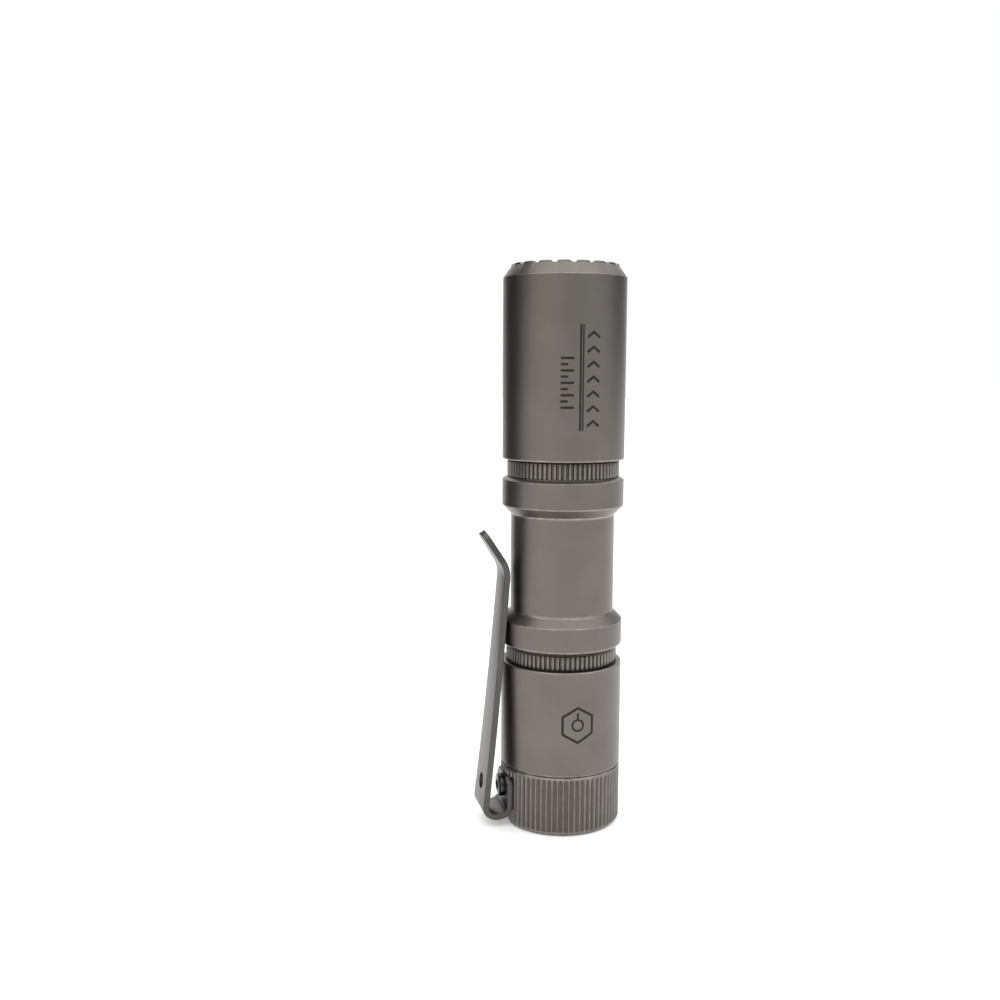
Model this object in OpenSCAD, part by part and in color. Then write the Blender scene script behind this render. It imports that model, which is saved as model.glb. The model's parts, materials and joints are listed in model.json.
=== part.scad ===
// Single-cell titanium keychain flashlight with a tail switch and a pocket clip.
// Millimetres. +Z runs along the optical axis from the tail to the light, the origin is the
// centre of the flat tail face that the light stands on, and the clip is on the -X side.

/* [Outside] */
// Diameter of the head, the collars and the tail
barrel_d = 21; // [20.8:0.1:21.6]
// Diameter of the waist between the collars
waist_d = 17.9; // [17.6:0.1:18.6]
// Diameter over the ridges of the fluted necks
neck_d = 19.3; // [19.2:0.05:19.5]
// Length of the fluted tail cap, up to its seam
tail_cap_len = 10.45; // [10.2:0.05:10.8]
// Length of the smooth tail grip of the tube
tail_grip_len = 18.2; // [17:0.1:20]
// Length of the fluted neck next to the tail grip
tail_neck_len = 3.1; // [2.6:0.1:3.6]
// Length of the collar next to that neck
tail_collar_len = 4.3; // [3.6:0.1:5]
// Length of the waist
waist_len = 16.8; // [15:0.1:19]
// Length of the collar on the head side
head_collar_len = 4.6; // [3.6:0.1:5.2]
// Length of the fluted neck under the head
head_neck_len = 3.3; // [2.6:0.1:3.6]
// Length of the head, rim included
head_len = 32.8; // [32.4:0.1:34]
// Length of the cone that closes the head in to its rim
bezel_len = 1.9; // [1.6:0.1:2.2]
// Diameter of the rim
rim_d = 18.3; // [18:0.1:18.8]
// Height of the rim above the cone
rim_h = 0.35; // [0.25:0.05:0.35]
// Size of the small edge chamfers
edge = 0.25; // [0.1:0.05:0.35]
// Size of the chamfers on the collars and the tail edge
big_edge = 0.55; // [0.3:0.05:0.7]

/* [Flutes and rim notches] */
// Number of flutes round the tail cap
cap_flutes = 68; // [48:1:80]
// Number of flutes round each neck
neck_flutes = 72; // [48:1:80]
// Depth of the flutes
flute_depth = 0.28; // [0.15:0.01:0.3]
// Share of each flute's pitch that its ridge takes up
flute_land = 0.5; // [0.2:0.02:0.5]
// Number of notches round the rim
rim_notches = 18; // [12:1:24]
// Width of a rim notch at its mouth
rim_notch_w = 1.0; // [0.6:0.1:1.4]
// Depth of a rim notch
rim_notch_depth = 0.41; // [0.36:0.01:0.5]
// Turn of the rim notches, as a share of their pitch
rim_notch_turn = 0.1; // [0:0.1:0.9]

/* [Fits] */
// Radial gap in the screwed joints
screw_gap = 0.05; // [0.02:0.01:0.1]
// Radial gap between the cell and the tube
cell_gap = 0.3; // [0.2:0.05:0.3]
// Air left between faces that meet across a joint
face_gap = 0.05; // [0.02:0.01:0.1]

/* [Cell] */
// Diameter of the cell over its sleeve
cell_d = 14.2; // [14:0.1:14.3]
// Length of the cell, its button included
cell_len = 50.5; // [50:0.1:50.6]
// Thickness of the shrink sleeve
wrap_t = 0.12; // [0.08:0.01:0.2]
// Diameter of the positive button
cell_button_d = 5.5; // [4.5:0.1:6]
// Height of the positive button
cell_button_h = 1.3; // [1:0.1:1.5]

/* [Tail cap and switch] */
// Thickness of the end wall round the button
tail_wall = 2.2; // [2:0.1:2.4]
// Diameter of the switch bore
switch_bore_d = 13.2; // [13:0.1:13.4]
// Diameter of the button
button_d = 10; // [9:0.1:10.6]
// How far the button lies below the tail face
button_recess = 0.45; // [0.3:0.05:0.6]
// Travel of the button
button_travel = 1.2; // [0.8:0.1:1.3]
// Diameter of the tail cap's threaded neck
cap_neck_d = 16.3; // [16.2:0.05:16.4]
// Length of that neck inside the tube
cap_neck_len = 6.2; // [5.8:0.1:6.4]

/* [Head] */
// Diameter of the tube's threaded end inside the head
tube_screw_d = 18.6; // [18.5:0.05:18.65]
// Length of that end above the head's lower edge
tube_screw_len = 7.1; // [6.9:0.1:7.1]
// Diameter of the window in the bezel
window_d = 16.4; // [16:0.1:16.6]
// Thickness of the lens
lens_t = 1.6; // [1.4:0.1:1.8]
// Thickness of the metal-core board under the emitter
led_board_t = 1.5; // [1.2:0.1:1.6]
// Side of the emitter's square base
emitter_w = 3.45; // [3:0.05:3.5]

/* [O-rings] */
// Thickness of the O-ring cord
o_ring_t = 0.8; // [0.7:0.05:0.85]

/* [Clip] */
// Thickness of the clip strip
clip_t = 1.05; // [1:0.05:1.1]
// Width of the clip at its loop
clip_w = 7.4; // [7:0.1:7.6]
// Width of the clip where it touches the body
clip_w_tip = 5.6; // [5.2:0.1:5.8]
// Outer radius of the loop
loop_r = 2.65; // [2.65:0.05:2.8]
// Distance of the milled flat from the axis
flat_r = 9.5; // [9.4:0.05:9.6]
// Height of the milled flat
flat_h = 8.8; // [8.7:0.1:9]
// Diameter of the screw head
screw_head_d = 4; // [3.6:0.1:4.2]
// Height of the screw head
screw_head_h = 0.95; // [0.8:0.05:1]
// Diameter of the screw's thread
screw_d = 2; // [1.8:0.1:2.2]
// Height of the screw
screw_z = 6.3; // [6.1:0.1:6.4]
// Height of the hole in the arm
clip_hole_z = 7.3; // [7:0.1:7.5]
// Diameter of the hole in the arm
clip_hole_d = 2.6; // [2.2:0.1:2.8]

/* [Hidden] */
$fn = 96;
over = 0.5;                                    // how far a cutting shape runs past a face
barrel_r = barrel_d / 2;
waist_r = waist_d / 2;
neck_r = neck_d / 2;
neck_root_r = neck_r - flute_depth;
step_len = barrel_r - waist_r;                 // 45 degree cone from a collar to the waist

// Stations along the axis
z_seam = tail_cap_len;
z_grip_end = z_seam + tail_grip_len;
z_collar_a = z_grip_end + tail_neck_len;
z_collar_a_end = z_collar_a + tail_collar_len;
z_waist = z_collar_a_end + step_len;
z_waist_end = z_waist + waist_len;
z_collar_b = z_waist_end + step_len;
z_collar_b_end = z_collar_b + head_collar_len;
z_head = z_collar_b_end + head_neck_len;
z_tip = z_head + head_len;
z_rim = z_tip - rim_h;
z_bezel = z_rim - bezel_len;

// Tube ends
cell_bore_r = cell_d / 2 + cell_gap;
tube_screw_r = tube_screw_d / 2;
z_tube_end = z_head + tube_screw_len;
cap_neck_r = cap_neck_d / 2;
tail_socket_r = cap_neck_r + screw_gap;
z_cap_neck_end = z_seam + cap_neck_len;
z_socket_end = z_cap_neck_end + 0.4;
groove_w = o_ring_t + 0.2;
z_head_groove = z_head + 0.8;
z_tail_groove = z_seam + 0.7;
lead_in = 0.4;                                 // chamfer on a threaded end

// Tail cap, from the tail face inwards
switch_bore_r = switch_bore_d / 2;
button_r = button_d / 2;
button_hole_r = button_r + screw_gap;
button_flange_r = switch_bore_r - 0.5;
z_flange = tail_wall + face_gap;
flange_t = 0.7;
z_boot = z_flange + flange_t;
z_boot_web = z_boot + button_travel + 0.45;
boot_t = 0.8;
boot_r = switch_bore_r - screw_gap;
boot_dome_r = 2.6;
z_washer = z_boot_web + boot_t;
washer_t = 0.6;
washer_hole_r = 2.4;
z_housing = z_washer + washer_t;
housing_h = 5.2;
housing_r = 6;
housing_flats = 9.6;                           // distance across the two flats of the switch housing
plunger_r = 1.7;
plunger_len = 2.9;
z_switch_board = z_housing + housing_h;
board_t = 1;
z_switch_ring = z_switch_board + board_t;
ring_h = 1.8;
switch_ring_hole_r = 5.3;
spanner_w = 1.2;                               // width of the spanner slots in the retaining rings

// Tail spring and the brass cap on it
wire_r = 0.4;
z_spring = z_switch_ring + wire_r;
spring_r_low = 4.5;
spring_r_high = 3;
spring_turns = 4.5;
z_spring_cap = 17;
spring_cap_t = 0.6;
spring_cap_r = 4;
spring_boss_r = 2.1;
spring_boss_h = 1.4;
spring_top = z_spring_cap - wire_r - 0.02;

// Cell
cell_r = cell_d / 2;
z_cell = z_spring_cap + spring_cap_t + 0.02;
z_cell_shoulder = z_cell + cell_len - cell_button_h;
z_cell_top = z_cell + cell_len;
cell_ring_t = 0.2;

// Head, from the driver outwards
head_bore_r = tube_screw_r + screw_gap;
pill_r = head_bore_r - screw_gap;
pill_bore_r = 8.4;
z_pill = z_tube_end + 0.1;
driver_ring_t = 0.8;
driver_ring_hole_r = 6.2;
z_driver = z_pill + driver_ring_t;
driver_r = pill_bore_r - screw_gap;
driver_t = 1.2;
contact_r = 2.4;
contact_foot_r = 3.4;
contact_foot_t = 0.6;
z_shelf = z_driver + driver_t + 3.1;
shelf_t = 2;
z_led_board = z_shelf + shelf_t;
led_board_r = 8;
z_emitter = z_led_board + led_board_t;
emitter_t = 0.7;
dome_r = 1.35;
centering_r = 4.2;
centering_t = 1.2;
lead_r = 0.45;
lead_hole_r = 0.9;
lead_ring_r = 6.4;                             // distance of the two leads from the axis
lead_pad_r = 4.95;                             // distance at which each lead is soldered down

// Optics
window_r = window_d / 2;
z_lip = z_bezel;
z_lens_top = z_lip - face_gap - o_ring_t;
z_lens = z_lens_top - lens_t;
lens_r = head_bore_r - 0.1;
z_reflector = z_emitter + centering_t;
z_reflector_top = z_lens - face_gap;
reflector_hole_r = 2.6;
reflector_foot_r = 4.4;
reflector_mouth_r = 8.2;
reflector_r = head_bore_r - screw_gap;
reflector_flange_t = 1.3;
reflector_wall = 0.7;
reflector_steps = 14;

// Clip. The strip is a path in the plane of the axis and the clip: x is the distance from the axis.
loop_mid_r = loop_r - clip_t / 2;
loop_x = flat_r + loop_r;
loop_z = loop_r + 0.8;
tab_top = flat_h - 0.2;
tab_corner_r = 1;
arm_lean = 6.45;                               // lean of the arm where it leaves the loop, in degrees
arm_lean_end = 4.35;                           // and just before the bend
arm_len = 40.1;
bend_r = 4.7;
flare = 32.5;                                  // lean of the flared tip, away from the body
flare_len = 5.9;
loop_split = 4;                                // half the angle of the hinge gap in the loop
arc_steps = 14;
arm_steps = 8;
tip_r = 2.2;
hex_w = 1.5;                                   // driver socket of the clip screw
hex_depth = 0.6;
screw_len = 3.5;

titanium = [0.60, 0.58, 0.55];
rubber = [0.10, 0.10, 0.11];
brass = [0.80, 0.65, 0.35];
steel = [0.75, 0.76, 0.78];
board_green = [0.10, 0.35, 0.22];

// ---- Shared shapes ----

// Plain ring or tube between two radii
module ring(r_out, r_in, z, h) {
    translate([0, 0, z])
        rotate_extrude()
            translate([r_in, 0])
                square([r_out - r_in, h]);
}

// O-ring whose cord is centred at height z
module o_ring(r_out, z) {
    translate([0, 0, z])
        rotate_extrude()
            translate([r_out - o_ring_t / 2, 0])
                circle(d = o_ring_t, $fn = 32);
}

// Outline with straight-sided flutes: each ridge has a flat top and each groove a flat floor
module fluted_outline(r, flutes, depth) {
    pitch = 360 / flutes;
    half_top = pitch * flute_land / 2;
    half_floor = pitch * (0.5 - flute_land / 2) * 0.45;
    polygon([for (i = [0:flutes - 1])
             for (p = [[r, -half_top], [r, half_top],
                       [r - depth, pitch / 2 - half_floor], [r - depth, pitch / 2 + half_floor]])
             p[0] * [cos(i * pitch + p[1]), sin(i * pitch + p[1])]]);
}

// Fluted band round the tube
module fluted_band(z, h) {
    translate([0, 0, z])
        difference() {
            linear_extrude(h)
                fluted_outline(neck_r, neck_flutes, flute_depth);
            translate([0, 0, -over])
                cylinder(r = neck_root_r - over, h = h + 2 * over);
        }
}

// Two slots across a retaining ring, for a pin spanner
module spanner_slots(r, z, depth) {
    translate([-r - over, -spanner_w / 2, z])
        cube([2 * (r + over), spanner_w, depth + over]);
}

// ---- Tube ----

module body_tube() {
    color(titanium)
        union() {
            rotate_extrude()
                polygon([
                    [tail_socket_r, z_seam],
                    [barrel_r - edge, z_seam],
                    [barrel_r, z_seam + edge],
                    [barrel_r, z_grip_end - edge],
                    [barrel_r - edge, z_grip_end],
                    [neck_root_r, z_grip_end],
                    [neck_root_r, z_collar_a],
                    [barrel_r - big_edge, z_collar_a],
                    [barrel_r, z_collar_a + big_edge],
                    [barrel_r, z_collar_a_end],
                    [waist_r, z_waist],
                    [waist_r, z_waist_end],
                    [barrel_r, z_collar_b],
                    [barrel_r, z_collar_b_end - big_edge],
                    [barrel_r - big_edge, z_collar_b_end],
                    [neck_root_r, z_collar_b_end],
                    [neck_root_r, z_head - face_gap],
                    [tube_screw_r, z_head - face_gap],
                    [tube_screw_r, z_head_groove],
                    [tube_screw_r - o_ring_t, z_head_groove],
                    [tube_screw_r - o_ring_t, z_head_groove + groove_w],
                    [tube_screw_r, z_head_groove + groove_w],
                    [tube_screw_r, z_tube_end - lead_in],
                    [tube_screw_r - lead_in, z_tube_end],
                    [cell_bore_r, z_tube_end],
                    [cell_bore_r, z_socket_end],
                    [tail_socket_r, z_socket_end]
                ]);
            fluted_band(z_grip_end - edge, tail_neck_len + 2 * edge);
            fluted_band(z_collar_b_end - edge, head_neck_len + edge - face_gap);
        }
}

module head_o_ring() {
    color(rubber)
        o_ring(tube_screw_r, z_head_groove + groove_w / 2);
}

module tail_o_ring() {
    color(rubber)
        o_ring(cap_neck_r, z_tail_groove + groove_w / 2);
}

// ---- Head ----

// One notch through the rim, pointing along +X
module rim_notch() {
    notch_floor = rim_notch_w * 0.6;
    translate([window_r - over, 0, z_tip - rim_notch_depth])
        rotate([90, 0, 90])
            linear_extrude(barrel_r - window_r + 2 * over)
                polygon([
                    [-notch_floor / 2, 0],
                    [notch_floor / 2, 0],
                    [rim_notch_w / 2, rim_notch_depth + over],
                    [-rim_notch_w / 2, rim_notch_depth + over]
                ]);
}

module head_shell() {
    color(titanium)
        difference() {
            rotate_extrude()
                polygon([
                    [head_bore_r, z_head],
                    [barrel_r - edge, z_head],
                    [barrel_r, z_head + edge],
                    [barrel_r, z_bezel],
                    [rim_d / 2, z_rim],
                    [rim_d / 2, z_tip],
                    [window_r, z_tip],
                    [window_r, z_lip],
                    [head_bore_r, z_lip]
                ]);
            for (i = [0:rim_notches - 1])
                rotate([0, 0, (i + rim_notch_turn) * 360 / rim_notches])
                    rim_notch();
        }
}

module lens() {
    color([0.85, 0.92, 0.95, 0.4])
        translate([0, 0, z_lens])
            cylinder(r = lens_r, h = lens_t);
}

module lens_o_ring() {
    color(rubber)
        o_ring(lens_r, z_lens_top + o_ring_t / 2);
}

// Inner radius of the reflector's parabola at a share of its height
function bowl_r(share) =
    sqrt(reflector_hole_r ^ 2 + share * (reflector_mouth_r ^ 2 - reflector_hole_r ^ 2));

module reflector() {
    bowl_h = z_reflector_top - z_reflector;
    color([0.85, 0.86, 0.88])
        rotate_extrude()
            polygon(concat(
                [for (i = [0:reflector_steps])
                 [bowl_r(i / reflector_steps), z_reflector + bowl_h * i / reflector_steps]],
                [
                    [reflector_r, z_reflector_top],
                    [reflector_r, z_reflector_top - reflector_flange_t],
                    [reflector_mouth_r + reflector_wall - 0.4, z_reflector_top - reflector_flange_t]
                ],
                [for (i = [reflector_steps - 3:-1:2])
                 [bowl_r(i / reflector_steps) + reflector_wall,
                  z_reflector + bowl_h * i / reflector_steps]],
                [
                    [reflector_foot_r, z_reflector + bowl_h / reflector_steps],
                    [reflector_foot_r, z_reflector]
                ]
            ));
}

module centering_ring() {
    hole_w = emitter_w + 0.2;
    color("white")
        difference() {
            translate([0, 0, z_emitter])
                cylinder(r = centering_r, h = centering_t);
            translate([-hole_w / 2, -hole_w / 2, z_emitter - over])
                cube([hole_w, hole_w, centering_t + 2 * over]);
        }
}

module emitter_base() {
    color([0.92, 0.90, 0.80])
        translate([-emitter_w / 2, -emitter_w / 2, z_emitter])
            cube([emitter_w, emitter_w, emitter_t]);
}

module emitter_dome() {
    z_dome = z_emitter + emitter_t;
    color([0.95, 0.85, 0.35])
        intersection() {
            translate([0, 0, z_dome])
                sphere(r = dome_r, $fn = 48);
            translate([0, 0, z_dome])
                cylinder(r = 2 * dome_r, h = 2 * dome_r);
        }
}

module led_board() {
    color([0.85, 0.86, 0.84])
        difference() {
            translate([0, 0, z_led_board])
                cylinder(r = led_board_r, h = led_board_t);
            for (side = [-1, 1])
                translate([side * lead_ring_r, 0, z_led_board - over])
                    cylinder(r = lead_hole_r, h = led_board_t + 2 * over, $fn = 32);
        }
}

// Each lead rises from the driver, passes the shelf and the board, and lies down on its pad
module led_leads() {
    z_low = z_driver + driver_t;
    z_high = z_emitter + lead_r + 0.02;
    for (side = [-1, 1])
        color(side < 0 ? "black" : "firebrick")
            union() {
                translate([side * lead_ring_r, 0, z_low])
                    cylinder(r = lead_r, h = z_high - z_low, $fn = 24);
                translate([side * lead_ring_r, 0, z_high])
                    sphere(r = lead_r, $fn = 24);
                translate([side * lead_pad_r, 0, z_high])
                    rotate([0, side * 90, 0])
                        cylinder(r = lead_r, h = lead_ring_r - lead_pad_r, $fn = 24);
            }
}

// Brass housing that is screwed into the head and holds the driver below and the emitter above
module driver_housing() {
    color(brass)
        difference() {
            translate([0, 0, z_pill])
                cylinder(r = pill_r, h = z_led_board - z_pill);
            translate([0, 0, z_pill - over])
                cylinder(r = pill_bore_r, h = z_shelf - z_pill + over);
            for (side = [-1, 1])
                translate([side * lead_ring_r, 0, z_shelf - over])
                    cylinder(r = lead_hole_r, h = shelf_t + 2 * over, $fn = 32);
        }
}

module driver_board() {
    color(board_green)
        translate([0, 0, z_driver])
            cylinder(r = driver_r, h = driver_t);
}

// Coil, controller and small parts on top of the driver board: [x, y, width, depth, height]
module driver_chips() {
    chips = [[-2.6, 0.6, 4, 4, 2], [2.7, 1.2, 3.9, 4.9, 1.3], [1.2, -4.2, 2, 1.2, 0.7],
             [4.2, -3.2, 1.6, 0.8, 0.6], [-2.4, -3.6, 1.6, 1, 0.6], [0, 5, 2.6, 1.3, 0.8]];
    color([0.15, 0.15, 0.16])
        for (c = chips)
            translate([c[0] - c[2] / 2, c[1] - c[3] / 2, z_driver + driver_t])
                cube([c[2], c[3], c[4]]);
}

module driver_contact() {
    z_face = z_cell_top + face_gap;
    color(brass)
        union() {
            translate([0, 0, z_driver - contact_foot_t])
                cylinder(r = contact_foot_r, h = contact_foot_t);
            translate([0, 0, z_face])
                cylinder(r = contact_r, h = z_driver - z_face - contact_foot_t / 2);
        }
}

module driver_ring() {
    color(brass)
        difference() {
            ring(driver_r, driver_ring_hole_r, z_pill, driver_ring_t);
            translate([0, 0, z_pill])
                mirror([0, 0, 1])
                    spanner_slots(driver_r, -driver_ring_t / 2, driver_ring_t / 2);
        }
}

// ---- Cell ----

module cell_can() {
    color(steel)
        translate([0, 0, z_cell])
            cylinder(r = cell_r - wrap_t, h = z_cell_shoulder - z_cell);
}

module cell_wrap() {
    color([0.13, 0.30, 0.55])
        ring(cell_r, cell_r - wrap_t, z_cell + wrap_t, z_cell_shoulder - z_cell - wrap_t);
}

module cell_ring() {
    color("white")
        ring(cell_r - 3 * wrap_t, cell_button_d / 2 + 0.4, z_cell_shoulder, cell_ring_t);
}

module cell_button() {
    color(steel)
        translate([0, 0, z_cell_shoulder])
            rotate_extrude()
                polygon([
                    [0, 0],
                    [cell_button_d / 2, 0],
                    [cell_button_d / 2, cell_button_h - edge],
                    [cell_button_d / 2 - edge, cell_button_h],
                    [0, cell_button_h]
                ]);
}

// ---- Tail spring ----

function eased(t) = t - sin(360 * t) / 9;                 // closes the coils up at both ends
function coil_radius(t) = spring_r_low + t * (spring_r_high - spring_r_low);
function coil_point(t) = [
    coil_radius(t) * cos(360 * spring_turns * t),
    coil_radius(t) * sin(360 * spring_turns * t),
    z_spring + 0.02 + (spring_top - z_spring - 0.02) * eased(t)
];

// Conical coil, swept as rings of wire_sides points
module tail_spring() {
    wire_sides = 8;
    rings = 72;
    points = [for (i = [0:rings])
              let (t = i / rings, turn = 360 * spring_turns * t)
              for (k = [0:wire_sides - 1])
              let (a = 360 * k / wire_sides)
              coil_point(t) + wire_r * [cos(a) * cos(turn), cos(a) * sin(turn), sin(a)]];
    walls = [for (i = [0:rings - 1])
             for (k = [0:wire_sides - 1])
             let (next = (k + 1) % wire_sides)
             for (face = [[k, next, next + wire_sides], [k, next + wire_sides, k + wire_sides]])
             [for (v = face) v + i * wire_sides]];
    ends = [[for (k = [wire_sides - 1:-1:0]) k], [for (k = [0:wire_sides - 1]) rings * wire_sides + k]];
    color(brass)
        polyhedron(points = points, faces = concat(walls, ends), convexity = 8);
}

module spring_cap() {
    color(brass)
        union() {
            translate([0, 0, z_spring_cap])
                cylinder(r = spring_cap_r, h = spring_cap_t);
            translate([0, 0, z_spring_cap - spring_boss_h])
                cylinder(r = spring_boss_r, h = spring_boss_h + spring_cap_t / 2);
        }
}

// ---- Tail cap and switch ----

module tail_cap() {
    neck_overlap = 1;
    color(titanium)
        difference() {
            union() {
                intersection() {
                    linear_extrude(z_seam)
                        fluted_outline(barrel_r, cap_flutes, flute_depth);
                    rotate_extrude()
                        polygon([
                            [0, 0],
                            [barrel_r - big_edge, 0],
                            [barrel_r, big_edge],
                            [barrel_r, z_seam - edge - face_gap],
                            [barrel_r - edge, z_seam - face_gap],
                            [0, z_seam - face_gap]
                        ]);
                }
                rotate_extrude()
                    polygon([
                        [switch_bore_r - over, z_seam - neck_overlap],
                        [cap_neck_r, z_seam - neck_overlap],
                        [cap_neck_r, z_tail_groove],
                        [cap_neck_r - o_ring_t, z_tail_groove],
                        [cap_neck_r - o_ring_t, z_tail_groove + groove_w],
                        [cap_neck_r, z_tail_groove + groove_w],
                        [cap_neck_r, z_cap_neck_end - lead_in],
                        [cap_neck_r - lead_in, z_cap_neck_end],
                        [switch_bore_r - over, z_cap_neck_end]
                    ]);
            }
            translate([0, 0, tail_wall])
                cylinder(r = switch_bore_r, h = z_cap_neck_end);
            translate([0, 0, -over])
                cylinder(r = button_hole_r, h = tail_wall + 2 * over);
            translate([-barrel_r - over, -barrel_r, -over])
                cube([barrel_r + over - flat_r, barrel_d, flat_h + over]);
            translate([-barrel_r - over, 0, screw_z])
                rotate([0, 90, 0])
                    cylinder(d = screw_d + 2 * screw_gap, h = barrel_r - switch_bore_r + 2 * over, $fn = 32);
        }
}

module switch_button() {
    dish = 0.2;
    color(titanium)
        rotate_extrude()
            polygon([
                [0, button_recess + dish],
                [button_r - 3 * edge, button_recess],
                [button_r - edge, button_recess],
                [button_r, button_recess + edge],
                [button_r, z_flange],
                [button_flange_r, z_flange],
                [button_flange_r, z_flange + flange_t],
                [0, z_flange + flange_t]
            ]);
}

// Soft seal between the button and the switch: a web with a raised middle
module switch_boot() {
    color(rubber)
        rotate_extrude()
            polygon([
                [0, z_boot + face_gap],
                [boot_dome_r, z_boot + face_gap],
                [boot_dome_r, z_boot_web],
                [boot_r, z_boot_web],
                [boot_r, z_boot_web + boot_t],
                [0, z_boot_web + boot_t]
            ]);
}

module boot_washer() {
    color([0.85, 0.85, 0.82])
        ring(boot_r, washer_hole_r, z_washer + face_gap, washer_t - 2 * face_gap);
}

module switch_housing() {
    color([0.14, 0.14, 0.15])
        difference() {
            intersection() {
                translate([0, 0, z_housing])
                    cylinder(r = housing_r, h = housing_h);
                translate([-housing_r, -housing_flats / 2, z_housing - over])
                    cube([2 * housing_r, housing_flats, housing_h + 2 * over]);
            }
            translate([0, 0, z_housing - over])
                cylinder(r = plunger_r + 2 * screw_gap, h = housing_h - 1 + over);
        }
}

module switch_plunger() {
    color([0.75, 0.20, 0.15])
        translate([0, 0, z_washer + face_gap])
            cylinder(r = plunger_r, h = plunger_len);
}

module switch_board() {
    color(board_green)
        translate([0, 0, z_switch_board])
            cylinder(r = boot_r, h = board_t);
}

module switch_ring() {
    color(brass)
        difference() {
            ring(boot_r, switch_ring_hole_r, z_switch_ring, ring_h);
            spanner_slots(boot_r, z_switch_ring + ring_h / 2, ring_h / 2);
        }
}

// ---- Clip ----

// A point at a distance and a direction in degrees from another
function polar(from, r, a) = from + r * [cos(a), sin(a)];

// Arc of points about a centre, from one direction to another
function arc(centre, r, a0, a1, steps) =
    [for (i = [0:steps]) polar(centre, r, a0 + (a1 - a0) * i / steps)];

loop_centre = [loop_x, loop_z];
arm_start = polar(loop_centre, loop_mid_r, arm_lean);
// The arm bows slightly: its lean falls evenly from arm_lean to arm_lean_end
arm_bow_r = arm_len / ((arm_lean - arm_lean_end) * PI / 180);
arm_bow_centre = polar(arm_start, arm_bow_r, arm_lean);
arm_end = polar(arm_bow_centre, arm_bow_r, 180 + arm_lean_end);
bend_centre = polar(arm_end, bend_r, arm_lean_end);
bend_end = polar(bend_centre, bend_r, 180 - flare);

// One side of the strip, offset outwards from its middle line by half a thickness times side
function arm_side(side) = concat(
    arc(loop_centre, loop_mid_r + side * clip_t / 2, -90 + loop_split, arm_lean, arc_steps),
    [for (i = [1:arm_steps])
     polar(arm_bow_centre, arm_bow_r - side * clip_t / 2,
           180 + arm_lean + (arm_lean_end - arm_lean) * i / arm_steps)],
    [for (i = [1:arm_steps])
     polar(bend_centre, bend_r - side * clip_t / 2,
           180 + arm_lean_end - (arm_lean_end + flare) * i / arm_steps)],
    [polar(bend_end, flare_len, 90 - flare) + side * clip_t / 2 * [cos(flare), -sin(flare)]]
);

function reversed(list) = [for (i = [len(list) - 1:-1:0]) list[i]];

// Turns a drawing of distance and height into a strip centred on y = 0, on the -X side
module strip(width) {
    translate([0, width / 2, 0])
        rotate([90, 0, 0])
            mirror([1, 0, 0])
                linear_extrude(width)
                    children();
}

// The tab is screwed to the flat, and the first half of the loop goes on down from it
module clip_tab() {
    color(titanium)
        difference() {
            union() {
                strip(clip_w)
                    polygon(concat(
                        arc(loop_centre, loop_r, 180, 270 - loop_split, arc_steps),
                        arc(loop_centre, loop_r - clip_t, 270 - loop_split, 180, arc_steps)
                    ));
                intersection() {
                    strip(clip_w)
                        translate([flat_r, loop_z])
                            square([clip_t, tab_top - loop_z]);
                    translate([-flat_r - clip_t - over, 0, 0])
                        rotate([90, 0, 90])
                            linear_extrude(clip_t + 2 * over)
                                tab_outline();
                }
            }
            translate([-barrel_r - over, 0, screw_z])
                rotate([0, 90, 0])
                    cylinder(d = screw_d + 2 * screw_gap, h = clip_t + 2 * over, $fn = 32);
        }
}

// Tab seen square on: a plate with two chamfered top corners
module tab_outline() {
    polygon([
        [-clip_w / 2, loop_z - over],
        [clip_w / 2, loop_z - over],
        [clip_w / 2, tab_top - tab_corner_r],
        [clip_w / 2 - tab_corner_r, tab_top],
        [-clip_w / 2 + tab_corner_r, tab_top],
        [-clip_w / 2, tab_top - tab_corner_r]
    ]);
}

// Arm seen square on: it tapers to the bend and ends in a round tip
module arm_outline() {
    z_bend = arm_end[1];
    z_flare_end = bend_end[1] + flare_len * cos(flare);
    tip_squash = cos(flare);
    polygon(concat(
        [[-clip_w / 2, 0], [clip_w / 2, 0], [clip_w / 2, loop_z]],
        [[clip_w_tip / 2, z_bend]],
        [for (i = [0:arc_steps])
         let (a = 180 * i / arc_steps)
         [tip_r * cos(a), z_flare_end - tip_r * tip_squash * (1 - sin(a))]],
        [[-clip_w_tip / 2, z_bend], [-clip_w / 2, loop_z]]
    ));
}

module clip_arm() {
    reach = loop_x + loop_r;
    color(titanium)
        difference() {
            intersection() {
                strip(clip_w)
                    polygon(concat(arm_side(1), reversed(arm_side(-1))));
                translate([-reach - over, 0, 0])
                    rotate([90, 0, 90])
                        linear_extrude(reach)
                            arm_outline();
            }
            translate([-reach - over, 0, clip_hole_z])
                rotate([0, 90, 0])
                    cylinder(d = clip_hole_d, h = loop_r + over);
        }
}

module clip_screw() {
    x_under = flat_r + clip_t;
    color([0.25, 0.24, 0.25])
        translate([-x_under, 0, screw_z])
            rotate([0, -90, 0])
                difference() {
                    union() {
                        rotate_extrude()
                            polygon([
                                [0, 0],
                                [screw_head_d / 2, 0],
                                [screw_head_d / 2, screw_head_h - edge],
                                [screw_head_d / 2 - edge, screw_head_h],
                                [0, screw_head_h]
                            ]);
                        translate([0, 0, -screw_len])
                            cylinder(d = screw_d, h = screw_len + screw_head_h / 4);
                    }
                    translate([0, 0, screw_head_h - hex_depth])
                        cylinder(d = hex_w, h = hex_depth + over, $fn = 6);
                }
}

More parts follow.
